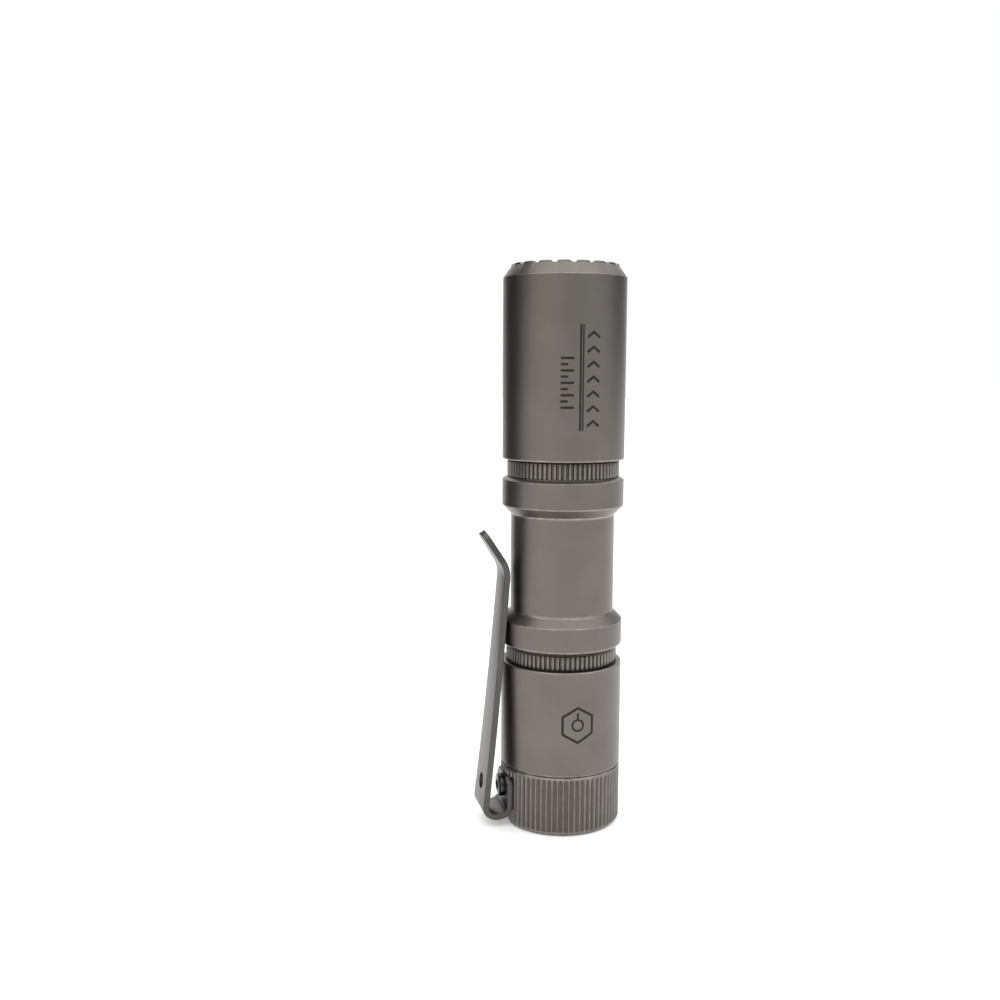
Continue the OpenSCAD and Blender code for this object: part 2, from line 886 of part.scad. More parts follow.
body_tube();
head_o_ring();
tail_o_ring();
head_shell();
lens();
lens_o_ring();
reflector();
centering_ring();
emitter_base();
emitter_dome();
led_board();
led_leads();
driver_housing();
driver_board();
driver_chips();
driver_contact();
driver_ring();
cell_can();
cell_wrap();
cell_ring();
cell_button();
spring_cap();
tail_spring();
tail_cap();
switch_button();
switch_boot();
boot_washer();
switch_housing();
switch_plunger();
switch_board();
switch_ring();
clip_tab();
clip_arm();
clip_screw();
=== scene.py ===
import json
import math

import bmesh
import bpy
import numpy as np
from mathutils import Matrix, Vector


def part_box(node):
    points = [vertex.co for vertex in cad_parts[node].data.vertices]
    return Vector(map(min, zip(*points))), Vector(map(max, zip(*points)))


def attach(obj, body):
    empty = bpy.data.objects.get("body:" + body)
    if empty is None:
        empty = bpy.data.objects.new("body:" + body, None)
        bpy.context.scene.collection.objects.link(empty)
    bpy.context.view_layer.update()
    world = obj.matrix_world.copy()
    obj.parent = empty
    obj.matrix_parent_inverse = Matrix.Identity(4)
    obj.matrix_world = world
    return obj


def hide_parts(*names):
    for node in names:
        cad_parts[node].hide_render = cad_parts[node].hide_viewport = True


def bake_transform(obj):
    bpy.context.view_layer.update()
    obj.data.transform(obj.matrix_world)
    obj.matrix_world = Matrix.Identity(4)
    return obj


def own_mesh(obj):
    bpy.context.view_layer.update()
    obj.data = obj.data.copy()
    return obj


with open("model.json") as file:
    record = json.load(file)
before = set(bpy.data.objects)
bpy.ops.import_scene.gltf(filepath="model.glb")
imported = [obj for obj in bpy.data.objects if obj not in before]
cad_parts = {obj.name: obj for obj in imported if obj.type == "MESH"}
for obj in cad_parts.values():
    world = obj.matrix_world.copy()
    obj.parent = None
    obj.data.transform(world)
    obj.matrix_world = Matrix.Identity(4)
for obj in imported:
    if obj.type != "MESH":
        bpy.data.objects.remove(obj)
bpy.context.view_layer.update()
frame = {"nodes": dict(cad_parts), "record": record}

# Looks of the keychain flashlight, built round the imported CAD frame. The shape functions work in millimetres
# and the meshes are made in metres; +Z points from the tail to the light.

MM = 0.001
TAU = 2 * math.pi


# ---- Stations, from the CAD boxes ----

def low(node, axis=2):
    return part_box(node)[0][axis] / MM


def high(node, axis=2):
    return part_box(node)[1][axis] / MM


Z_SEAM = low("body_tube")
Z_TUBE_END = high("body_tube")
Z_HEAD = low("head_shell")
Z_TIP = high("head_shell")
BARREL_R = high("body_tube", 0)
GRIP_LEN = 18.2
NECK_A_LEN = 2.6
NECK_B_LEN = 3.3
COLLAR_LEN = 4.8
CONE_LEN = 1.55
WAIST_LEN = 16.8
RIM_H = 0.35
BEZEL_H = 1.9
Z_GRIP = Z_SEAM + GRIP_LEN      # end of the smooth tail grip
Z_COLLAR_A = Z_GRIP + NECK_A_LEN  # collar on the tail side, from its neck to the cone
Z_COLLAR_A_END = Z_COLLAR_A + COLLAR_LEN
Z_WAIST = Z_COLLAR_A_END + CONE_LEN
Z_WAIST_END = Z_WAIST + WAIST_LEN
Z_COLLAR_B = Z_WAIST_END + CONE_LEN  # collar on the head side
Z_COLLAR_B_END = Z_HEAD - NECK_B_LEN
Z_RIM = Z_TIP - RIM_H           # where the bezel cone meets the rim
Z_BEZEL = Z_RIM - BEZEL_H       # where the head meets the bezel cone
WAIST_R = 8.95
NECK_R = 9.65
GAP_R = 9.2                     # floor of the fine turned gaps beside the flutes
SCREW_R = 9.3                   # threaded end of the tube
BORE_R = high("lens", 0) + 0.1  # bore of the head
SOCKET_R = 8.2                  # tail socket of the tube
CELL_BORE_R = 7.4
CAP_NECK_R = high("tail_o_ring", 0)
WINDOW_R = 8.2                  # opening in front of the lens, and the reflector's mouth
PITCH = 1.0
THREAD_DEPTH = 0.3
THREAD_FADE = 0.5               # height over which a thread runs out
OUTER_RINGS = 0.17              # height between the rings of a thread on the tube
FINE_RINGS = 0.125              # the same for the head's and the cap's threads
GROOVE_H = 1.0                  # O-ring grooves
GROOVE_DEPTH = 0.8
PAINTED_SHADE_SHARE = 0.33              # how dark the painted shade in grooves, gaps and on the clip's edges is against the metal


# ---- Mesh helpers ----

def make_piece(name, points, faces, wear_and_painted_light=None, sharp=32.0):
    """A closed mesh from points in millimetres, with its faces turned outwards and its hard edges marked."""
    mesh = bpy.data.meshes.new(name)
    mesh.from_pydata((np.asarray(points, float) * MM).tolist(), [], faces)
    bm = bmesh.new()
    bm.from_mesh(mesh)
    bmesh.ops.recalc_face_normals(bm, faces=bm.faces)
    bm.to_mesh(mesh)
    bm.free()
    mesh.shade_smooth()
    mesh.set_sharp_from_angle(angle=math.radians(sharp))
    # The tone goes on the mesh as a point attribute: rubbed wear and painted highlight above 0, painted shade
    # below 0.
    if wear_and_painted_light is not None:
        light_and_wear = mesh.attributes.new("wear_and_painted_light", "FLOAT", "POINT")
        light_and_wear.data.foreach_set("value", np.asarray(wear_and_painted_light, np.float32))
    piece = bpy.data.objects.new(name, mesh)
    bpy.context.scene.collection.objects.link(piece)
    return piece


def fillet(corners, closed=True, steps=4):
    """Rounds the corners of a profile of (radius, height, corner radius). Gives (radius, height, tone) rows,
    in which the rounded corners carry rubbed wear and painted highlight, with a support point just inside each
    end of a long straight, which keeps its shading flat."""
    rows = []
    count = len(corners)
    support = 0.16
    shoulder = 0.4
    for i, corner in enumerate(corners):
        here = np.array(corner[:2], float)
        rad = corner[2] if len(corner) > 2 else 0
        last_or_first = not closed and i in (0, count - 1)
        before = np.array(corners[i - 1][:2], float)
        after = np.array(corners[(i + 1) % count][:2], float)
        to_before, to_after = before - here, after - here
        len_before, len_after = np.linalg.norm(to_before), np.linalg.norm(to_after)
        if last_or_first or rad <= 0:
            if not last_or_first and len_before > 4 * support and len(corner) > 2:
                rows.append([*(here + to_before / len_before * support), 0])
            rows.append([*here, 0])
            if not last_or_first and len_after > 4 * support and len(corner) > 2:
                rows.append([*(here + to_after / len_after * support), 0])
            continue
        u, v = to_before / len_before, to_after / len_after
        half = math.acos(max(-1.0, min(1.0, float(u @ v)))) / 2
        reach = min(rad / math.tan(half), 0.45 * len_before, 0.45 * len_after)
        rad = reach * math.tan(half)
        centre = here + (u + v) / np.linalg.norm(u + v) * rad / math.sin(half)
        start, end = here + u * reach - centre, here + v * reach - centre
        turn = math.atan2(start[0] * end[1] - start[1] * end[0], float(start @ end))
        if len_before > reach + 4 * support:
            rows.append([*(here + u * (reach + support)), 0])
        for k in range(steps + 1):
            a = turn * k / steps
            spun = [start[0] * math.cos(a) - start[1] * math.sin(a),
                    start[0] * math.sin(a) + start[1] * math.cos(a)]
            # The arc's rows get 1 and its ends the shoulder share: rubbed wear and painted highlight on the
            # rounded edge.
            rows.append([*(centre + spun), 1 if 0 < k < steps else shoulder])
        if len_after > reach + 4 * support:
            rows.append([*(here + v * (reach + support)), 0])
    return rows


def rows_between(r, z0, z1, spacing):
    """Evenly spaced rings of one radius, for a thread or a fluted band."""
    count = max(2, round(abs(z1 - z0) / spacing))
    return [[r, z0 + (z1 - z0) * i / count, 0] for i in range(count + 1)]


def even_columns(count):
    return np.arange(count) * TAU / count


def columns_of(period_count, shares):
    """Column angles that repeat a set of shares of one period, round the axis."""
    shares = np.asarray(shares, float)
    return (np.arange(period_count)[:, None] + shares[None, :]).ravel() * TAU / period_count


def revolve(name, rows, angles, shape=None, closed=True):
    """Sweeps a profile round Z. A closed profile gives a ring, and an open one ends in a pole at each end.
    shape(r, z, angle) moves the grid of points to cut flutes, threads and notches, and gives the tone to add:
    above 0 for rubbed wear and painted highlight, below 0 for painted shade in grooves and gaps."""
    rows = np.asarray(rows, float)
    count, around = len(rows), len(angles)
    r, a = np.meshgrid(rows[:, 0], angles, indexing="ij")
    z = np.repeat(rows[:, 1:2], around, axis=1)
    tone = np.zeros_like(r)
    if shape:
        r, z, tone = shape(r, z, a)
    points = np.stack([r * np.cos(a), r * np.sin(a), z], axis=2).reshape(-1, 3)
    # Profile tone plus shape tone: rubbed wear and painted highlight above 0, painted shade below 0.
    light_and_wear = (rows[:, 2:3] + tone).clip(-1, 1).ravel()
    bands = count if closed else count - 1
    i, j = np.meshgrid(np.arange(bands), np.arange(around), indexing="ij")
    i, j = i.ravel(), j.ravel()
    up, right = (i + 1) % count, (j + 1) % around
    quads = np.stack([i * around + j, i * around + right, up * around + right, up * around + j], axis=1)
    faces = quads.tolist()
    if not closed:
        poles = np.array([[0, 0, rows[0, 1]], [0, 0, rows[-1, 1]]])
        first, last = len(points), len(points) + 1
        points, light_and_wear = np.vstack([points, poles]), np.append(light_and_wear, [0, 0])
        top = (count - 1) * around
        faces += [[first, (k + 1) % around, k] for k in range(around)]
        faces += [[last, top + k, top + (k + 1) % around] for k in range(around)]
    return make_piece(name, points, faces, light_and_wear)


def smooth(x):
    x = np.clip(x, 0, 1)
    return x * x * (3 - 2 * x)


def within(z, z0, z1):
    return (z > z0 - 1e-6) & (z < z1 + 1e-6)


def faded(z, z0, z1):
    """1 along a thread, and down to 0 at both of its ends."""
    return smooth((z - z0) / THREAD_FADE) * smooth((z1 - z) / THREAD_FADE)


def thread(z, a, z0, z1):
    """Depth of a right-hand thread at a height and angle, from 0 at its crest to 1 at its root, faded at both
    ends."""
    flank, crest = 1.7, 0.35
    across = np.abs(((z / PITCH - a / TAU) % 1) - 0.5) * 2
    return np.clip(flank * across - crest, 0, 1) * faded(z, z0, z1)


def inner_thread(z, a, z0, z1):
    """Depth to cut into a bore for the nut side of the same thread."""
    return (1 - thread(z, a, z0, z1)) * faded(z, z0, z1)


def sweep(name, centres, sides, ups, section, sharp=32.0, light_and_wear=None):
    """Runs a section of (across, up) points along a path. sides and ups are its axes at each centre."""
    rings, count = len(centres), len(section[0])
    section = np.asarray(section, float)
    points = (np.asarray(centres)[:, None, :]
              + section[:, :, 0:1] * np.asarray(sides)[:, None, :]
              + section[:, :, 1:2] * np.asarray(ups)[:, None, :]).reshape(-1, 3)
    faces = []
    for i in range(rings - 1):
        for k in range(count):
            n = (k + 1) % count
            faces.append([i * count + k, i * count + n, (i + 1) * count + n, (i + 1) * count + k])
    faces.append(list(range(count)))
    faces.append([(rings - 1) * count + k for k in reversed(range(count))])
    return make_piece(name, points, faces, light_and_wear, sharp)


# ---- Materials ----

class Look:
    """A Principled material and the few node chains that these finishes share."""

    def __init__(self, name, **sockets):
        self.material = bpy.data.materials.new(name)
        self.material.use_nodes = True
        self.tree = self.material.node_tree
        self.shader = self.tree.nodes["Principled BSDF"]
        for key, value in sockets.items():
            self.shader.inputs[key.replace("_", " ")].default_value = value
        self.coords = self.tree.nodes.new("ShaderNodeTexCoord").outputs["Object"]

    def node(self, kind, **inputs):
        made = self.tree.nodes.new(kind)
        for key, value in inputs.items():
            socket = made.inputs[key.replace("_", " ")]
            if isinstance(value, bpy.types.NodeSocket):
                self.tree.links.new(value, socket)
            else:
                socket.default_value = value
        return made

    def link(self, output, socket):
        self.tree.links.new(output, self.shader.inputs[socket])

    def noise(self, size_mm, detail=2.0, stretch=None):
        """Noise whose features are about size_mm across; stretch scales its three directions."""
        vector = self.coords
        if stretch:
            vector = self.node("ShaderNodeMapping", Vector=vector, Scale=stretch).outputs["Vector"]
        made = self.node("ShaderNodeTexNoise", Vector=vector, Scale=1 / (size_mm * MM), Detail=detail)
        return made.outputs["Fac"]

    def ramp(self, value, start, end):
        made = self.tree.nodes.new("ShaderNodeMapRange")
        made.inputs["From Min"].default_value, made.inputs["From Max"].default_value = 0.3, 0.7
        made.inputs["To Min"].default_value, made.inputs["To Max"].default_value = start, end
        self.tree.links.new(value, made.inputs["Value"])
        return made.outputs["Result"]

    def mix(self, factor, first, second):
        made = self.tree.nodes.new("ShaderNodeMix")
        made.data_type = "RGBA"
        for socket, value in ((made.inputs[0], factor), (made.inputs[6], first), (made.inputs[7], second)):
            if isinstance(value, bpy.types.NodeSocket):
                self.tree.links.new(value, socket)
            else:
                socket.default_value = value
        return made.outputs[2]

    def times(self, value, number):
        made = self.node("ShaderNodeMath", Value=value)
        made.operation = "MULTIPLY"
        made.inputs[1].default_value = number
        return made.outputs[0]

    def positive(self, value, sign):
        """The value where it has this sign, and 0 elsewhere."""
        made = self.times(value, sign).node
        made.use_clamp = True
        return made.outputs[0]

    def product(self, first, second):
        made = self.times(first, 1.0).node
        self.tree.links.new(second, made.inputs[1])
        return made.outputs[0]

    def bump(self, height, depth_mm, normal=None):
        made = self.node("ShaderNodeBump", Height=height, Distance=depth_mm * MM, Strength=1.0)
        if normal:
            self.tree.links.new(normal, made.inputs["Normal"])
        return made.outputs["Normal"]


def rgba(r, g, b):
    return (r, g, b, 1.0)


def finish_look(name, dark, light, rough, grain_mm=0.12, bump_mm=0.004, patch_mm=6.0, rough_span=0.06,
                **sockets):
    """A finish with broad tone changes, fine grain in its roughness, and a fine bump."""
    look = Look(name, Roughness=rough, **sockets)
    patches = look.ramp(look.noise(patch_mm, 3.0), 0.0, 1.0)
    grain = look.noise(grain_mm, 3.0)
    tone = look.mix(patches, rgba(*dark), rgba(*light))
    speck, speck_share = rgba(*[c * 0.72 for c in light]), 0.25
    look.tone = look.mix(look.ramp(grain, 0.0, speck_share), tone, speck)
    look.link(look.tone, "Base Color")
    look.link(look.ramp(grain, rough - rough_span, rough + rough_span), "Roughness")
    look.normal = look.bump(grain, bump_mm)
    look.link(look.normal, "Normal")
    return look


def titanium_look(name, dark, light, rough, worn_and_highlight):
    """Turned and bead-blasted titanium: fine lathe lines round the axis, edges and ridges lighter from wear
    and a painted highlight, and painted shade in grooves, gaps and on the clip's edges.
    """
    look = finish_look(name, dark, light, rough, grain_mm=0.11, bump_mm=0.0035, patch_mm=9.0, Metallic=1.0)
    lines = look.noise(1.0, 2.0, stretch=(0.02, 0.02, 9.0))
    look.link(look.bump(lines, 0.0025, look.normal), "Normal")
    light_and_wear = look.node("ShaderNodeAttribute")
    light_and_wear.attribute_name = "wear_and_painted_light"
    # Where the tone is above 0: rubbed wear and a painted highlight, lighter towards the worn colour.
    rubbed_and_highlight = look.product(look.positive(light_and_wear.outputs["Fac"], 1.0), look.ramp(look.noise(1.4, 3.0), 0.3, 1.0))
    # Where the tone is below 0: painted shade, darkened towards a share of the dark colour.
    painted_shade = look.product(look.positive(light_and_wear.outputs["Fac"], -1.0), look.ramp(look.noise(0.8, 3.0), 0.75, 1.0))
    bright = look.mix(rubbed_and_highlight, look.tone, rgba(*worn_and_highlight))
    look.link(look.mix(painted_shade, bright, rgba(*[c * PAINTED_SHADE_SHARE for c in dark])), "Base Color")
    return look.material


def bare_metal_look(name, colour, rough):
    return finish_look(name, [c * 0.88 for c in colour], colour, rough, grain_mm=0.3, bump_mm=0.003,
                       patch_mm=3.0, rough_span=0.05, Metallic=1.0).material


def board_look():
    """Green solder mask with the faint squares of its copper under it."""
    look = Look("circuit_board", Roughness=0.35, IOR=1.5)
    cells = look.node("ShaderNodeTexVoronoi", Vector=look.coords, Scale=700.0)
    cells.distance = "MANHATTAN"
    copper = look.ramp(cells.outputs["Distance"], 0.0, 1.0)
    mask = look.mix(copper, rgba(0.012, 0.075, 0.036), rgba(0.02, 0.15, 0.07))
    look.link(mask, "Base Color")
    look.link(look.ramp(look.noise(0.3), 0.28, 0.42), "Roughness")
    look.link(look.bump(copper, 0.02), "Normal")
    return look.material


def glass_look():
    look = Look("lens_glass", Roughness=0.02, IOR=1.47, Transmission_Weight=1.0)
    smear = look.noise(7.0, 3.0)
    tint = look.mix(look.ramp(smear, 0.0, 1.0), rgba(0.90, 0.96, 0.99), rgba(0.97, 0.985, 1.0))
    look.link(tint, "Base Color")
    look.link(look.ramp(smear, 0.005, 0.03), "Roughness")
    return look.material


def reflector_look():
    look = Look("reflector_alu", Metallic=1.0, Roughness=0.12)
    peel = look.noise(0.7, 2.0)
    tone = look.mix(look.ramp(peel, 0.0, 1.0), rgba(0.86, 0.87, 0.88), rgba(0.93, 0.94, 0.95))
    look.link(tone, "Base Color")
    look.link(look.ramp(peel, 0.09, 0.15), "Roughness")
    look.link(look.bump(peel, 0.012), "Normal")
    return look.material


def sleeve_look():
    """Cell sleeve: blue shrink film with a pale band at its positive end, and its fine ripples."""
    look = Look("cell_sleeve", IOR=1.52, Coat_Weight=0.3, Coat_Roughness=0.15)
    height = look.node("ShaderNodeSeparateXYZ", Vector=look.coords).outputs["Z"]
    band = look.node("ShaderNodeMapRange", Value=height)
    band_end, band_width = high("cell_can") - 5.0, 0.2
    band.inputs["From Min"].default_value = (band_end - band_width) * MM
    band.inputs["From Max"].default_value = band_end * MM
    film = look.mix(look.ramp(look.noise(4.0), 0.0, 1.0), rgba(0.012, 0.05, 0.16), rgba(0.02, 0.075, 0.22))
    look.link(look.mix(band.outputs["Result"], film, rgba(0.62, 0.64, 0.66)), "Base Color")
    ripple = look.noise(1.5, 3.0)
    look.link(look.ramp(ripple, 0.25, 0.4), "Roughness")
    look.link(look.bump(ripple, 0.02), "Normal")
    return look.material


# The last colour is the one for rubbed wear and painted highlight on edges and ridges.
TITANIUM = titanium_look("titanium", (0.146, 0.133, 0.122), (0.172, 0.158, 0.146), 0.38, (0.34, 0.315, 0.295))
CLIP_TITANIUM = titanium_look("titanium_clip", (0.116, 0.111, 0.109), (0.137, 0.132, 0.130), 0.36,
                              (0.20, 0.19, 0.186))
MATERIALS = {
    "titanium": TITANIUM,
    "titanium_clip": CLIP_TITANIUM,
    "black_screw": finish_look("black_screw", (0.05, 0.05, 0.053), (0.09, 0.09, 0.095), 0.22, grain_mm=0.2,
                               bump_mm=0.002, patch_mm=1.5, Metallic=1.0).material,
    "rubber_black": finish_look("rubber_black", (0.012, 0.012, 0.013), (0.02, 0.02, 0.021), 0.5,
                                grain_mm=0.1, bump_mm=0.006, patch_mm=2.0).material,
    "lens_glass": glass_look(),
    "reflector_alu": reflector_look(),
    "white_plastic": finish_look("white_plastic", (0.74, 0.74, 0.72), (0.82, 0.82, 0.80), 0.42,
                                 grain_mm=0.2, bump_mm=0.004, patch_mm=3.0).material,
    "emitter_ceramic": finish_look("emitter_ceramic", (0.70, 0.68, 0.60), (0.78, 0.76, 0.68), 0.5,
                                   grain_mm=0.06, bump_mm=0.003, patch_mm=0.8).material,
    "emitter_silicone": finish_look("emitter_silicone", (0.78, 0.55, 0.06), (0.88, 0.66, 0.10), 0.12,
                                    grain_mm=0.15, bump_mm=0.001, patch_mm=0.5, rough_span=0.03,
                                    Coat_Weight=1.0, Coat_Roughness=0.03).material,
    "core_board": finish_look("core_board", (0.66, 0.67, 0.66), (0.76, 0.77, 0.75), 0.38, grain_mm=0.15,
                              bump_mm=0.004, patch_mm=2.5).material,
    "lead_insulation": finish_look("lead_insulation", (0.30, 0.012, 0.010), (0.42, 0.02, 0.015), 0.38,
                                   grain_mm=0.1, bump_mm=0.004, patch_mm=1.0).material,
    "brass": bare_metal_look("brass", (0.66, 0.47, 0.20), 0.3),
    "circuit_board": board_look(),
    "chip_black": finish_look("chip_black", (0.014, 0.014, 0.015), (0.025, 0.025, 0.027), 0.45, grain_mm=0.08,
                              bump_mm=0.005, patch_mm=1.0).material,
    "cell_steel": bare_metal_look("cell_steel", (0.60, 0.60, 0.60), 0.27),
    "cell_sleeve": sleeve_look(),
    "spring_gold": bare_metal_look("spring_gold", (0.78, 0.56, 0.22), 0.2),
    "boot_silicone": finish_look("boot_silicone", (0.02, 0.02, 0.022), (0.035, 0.035, 0.037), 0.55,
                                 grain_mm=0.12, bump_mm=0.008, patch_mm=2.0).material,
    "switch_black": finish_look("switch_black", (0.015, 0.015, 0.016), (0.03, 0.03, 0.032), 0.4,
                                grain_mm=0.15, bump_mm=0.006, patch_mm=2.0).material,
    "switch_red": finish_look("switch_red", (0.30, 0.03, 0.02), (0.42, 0.05, 0.03), 0.4, grain_mm=0.15,
                              bump_mm=0.005, patch_mm=1.0).material,
}
ENGRAVING = finish_look("engraving", (0.006, 0.005, 0.005), (0.014, 0.011, 0.010), 0.55, grain_mm=0.05,
                        bump_mm=0.002, patch_mm=0.4, Metallic=0.4).material


def dress(piece, slot_name, body=None, replaced=()):
    """Gives a new piece its material, its material slot, the CAD nodes it stands for, and its body."""
    piece.data.materials.clear()
    piece.data.materials.append(MATERIALS[slot_name])
    if replaced:
        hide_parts(*replaced)
    if body:
        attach(piece, body)
    return piece


# ---- Tube ----

FLUTE_A = (Z_GRIP + 0.2, Z_COLLAR_A - 0.15)
FLUTE_B = (Z_COLLAR_B_END + 0.45, Z_HEAD - 0.3)
NECK_FLUTES = 72
NECK_FLUTE_DEPTH = 0.27
NECK_RIDGE = 0.22               # share of the pitch from a ridge's middle to its side
NECK_SIDE = 0.18                # share of the pitch that one side of a groove takes up
NECK_SHARES = [-0.29, -0.23, 0.0, 0.23, 0.29, 0.40, 0.5, 0.60]
TUBE_CHAMFER = 0.4
TUBE_THREAD = (Z_HEAD + 2.1, Z_TUBE_END - TUBE_CHAMFER)
SOCKET_THREAD = (Z_SEAM + 1.9, Z_SEAM + 6.4)
SOCKET_END = Z_SEAM + 6.6
# Tone of the neck flutes: ridges lighter from wear and a painted highlight, painted shade on the groove floors
# and in the turned gaps.
RIDGE_TONE, GROOVE_SHADE, GAP_SHADE = 0.2, 0.85, 0.6


def flute_groove(share):
    """Depth of a neck groove at a share of its pitch, 0 on the ridge and 1 on the floor."""
    off = np.abs((share + 0.5) % 1 - 0.5)
    return smooth((off - NECK_RIDGE) / NECK_SIDE)


def tube_shape(r, z, a):
    """Cuts the flutes of both necks, the thread under the head and the thread of the tail socket."""
    share = (a / TAU * NECK_FLUTES) % 1
    fluted = (within(z, *FLUTE_A) | within(z, *FLUTE_B)) & (r > NECK_R - 0.15)
    groove = flute_groove(share)
    r = r - fluted * NECK_FLUTE_DEPTH * groove
    necks = within(z, Z_GRIP, Z_COLLAR_A) | within(z, Z_COLLAR_B_END, Z_HEAD)
    # Wear and painted highlight on the ridges, painted shade in the flute grooves and on the gap floors.
    tone = fluted * (RIDGE_TONE - GROOVE_SHADE * groove) - necks * (r < GAP_R + 0.01) * GAP_SHADE
    outer = within(z, *TUBE_THREAD) & (r > SCREW_R - 0.05)
    r = r - outer * THREAD_DEPTH * thread(z, a, *TUBE_THREAD)
    inner = within(z, *SOCKET_THREAD) & (r < SOCKET_R + 0.05) & (r > SOCKET_R - 0.05)
    r = r + inner * THREAD_DEPTH * inner_thread(z, a, *SOCKET_THREAD)
    return r, z, tone


def neck_rows(flutes, below, above):
    """Profile of a fluted neck: a ring or gap below and above, and fine turned lines at the flutes' ends."""
    line, spacing = 0.1, 0.7
    rows = [[below[1], below[0], 0]]
    for z in (flutes[0] - line, flutes[1]):
        rows += [[NECK_R - 0.02, z, 0], [GAP_R, z, 0], [GAP_R, z + line, 0], [NECK_R - 0.02, z + line, 0]]
        if z < flutes[1]:
            rows += rows_between(NECK_R, flutes[0] + 0.05, flutes[1] - 0.05, spacing)
    return rows + [[above[1], above[0], 0]]


def build_tube():
    """Turned tube, from its tail socket over both collars to the threaded end, and back down its bore."""
    grip = fillet([(SOCKET_R, Z_SEAM), (BARREL_R, Z_SEAM, 0.28), (BARREL_R, Z_GRIP, 0.26), (GAP_R, Z_GRIP)],
                  closed=False)
    neck_a = neck_rows(FLUTE_A, (Z_GRIP, GAP_R), (Z_COLLAR_A - 0.03, NECK_R))[2:]
    middle = fillet([(NECK_R, Z_COLLAR_A - 0.02), (NECK_R + 0.1, Z_COLLAR_A, 0.05),
                     (BARREL_R, Z_COLLAR_A + 0.7, 0.35), (BARREL_R, Z_COLLAR_A_END, 0.22),
                     (WAIST_R, Z_WAIST, 0.5), (WAIST_R, Z_WAIST_END, 0.5), (BARREL_R, Z_COLLAR_B, 0.22),
                     (BARREL_R, Z_COLLAR_B_END - 0.2, 0.12), (NECK_R + 0.4, Z_COLLAR_B_END + 0.1, 0.05),
                     (NECK_R + 0.02, Z_COLLAR_B_END + 0.25)], closed=False)[1:]
    neck_b = neck_rows(FLUTE_B, (Z_COLLAR_B_END + 0.3, NECK_R), (Z_HEAD - 0.06, GAP_R))
    groove_z = Z_HEAD + 0.8
    groove_end = groove_z + GROOVE_H
    groove_r = SCREW_R - GROOVE_DEPTH
    end_r = SCREW_R - TUBE_CHAMFER
    screw = [[SCREW_R, Z_HEAD, 0], [SCREW_R, groove_z, 0], [groove_r, groove_z, 0], [groove_r, groove_end, 0],
             [SCREW_R, groove_end, 0], *rows_between(SCREW_R, *TUBE_THREAD, OUTER_RINGS),
             [end_r, Z_TUBE_END, 0]]
    bore = fillet([(end_r, Z_TUBE_END), (CELL_BORE_R, Z_TUBE_END, 0.12), (CELL_BORE_R, SOCKET_END, 0.1),
                   (SOCKET_R, SOCKET_END)], closed=False)[1:]
    socket = rows_between(SOCKET_R, SOCKET_THREAD[1], SOCKET_THREAD[0], OUTER_RINGS)
    rows = grip + neck_a + middle + neck_b + screw + bore + socket
    angles = columns_of(NECK_FLUTES, NECK_SHARES)
    return dress(revolve("tube", rows, angles, tube_shape), "titanium", "tube", ["body_tube"])


# ---- Head ----

NOTCHES = 18
NOTCH_PITCH = 360 / NOTCHES     # degrees
NOTCH_TURN = 2.0                # degrees
NOTCH_HALF = 0.26               # half the width of a notch's floor
NOTCH_SIDE = 0.42               # width of its slanted side
TOOTH_HALF = 1.6
TOOTH_ROUND = 0.04              # how much the teeth fall off towards the notches
NOTCH_FLOOR_Z = Z_TIP - 0.36
NOTCH_BASE_Z = Z_RIM - 0.14
HEAD_THREAD = (Z_HEAD + 2.0, Z_HEAD + 7.0)
NOTCH_DEGREES = [0, 1.0, 1.7, 2.3, 2.9, 3.5, 4.2, 5.0, 6.2, 7.5, 8.8, 10.0]


def head_shape(r, z, a):
    """Cuts the rim notches, with slanted sides and rounded teeth between them, and the thread in the bore."""
    half_pitch = NOTCH_PITCH / 2
    off = np.abs((np.degrees(a) - NOTCH_TURN + half_pitch) % NOTCH_PITCH - half_pitch)
    across = np.radians(off) * r
    notch = 1 - smooth((across - NOTCH_HALF) / NOTCH_SIDE)
    rounded = TOOTH_ROUND * ((across - TOOTH_HALF).clip(-TOOTH_HALF, 0) / TOOTH_HALF) ** 2
    top = Z_TIP - (Z_TIP - NOTCH_FLOOR_Z) * notch - rounded * (1 - notch)
    share = (z - NOTCH_BASE_Z) / (Z_TIP - NOTCH_BASE_Z)
    z = np.where(z > NOTCH_BASE_Z, NOTCH_BASE_Z + share * (top - NOTCH_BASE_Z), z)
    inside = within(z, *HEAD_THREAD) & (r < BORE_R + 0.05)
    r = r + inside * THREAD_DEPTH * inner_thread(z, a, *HEAD_THREAD)
    return r, z, np.zeros_like(r)


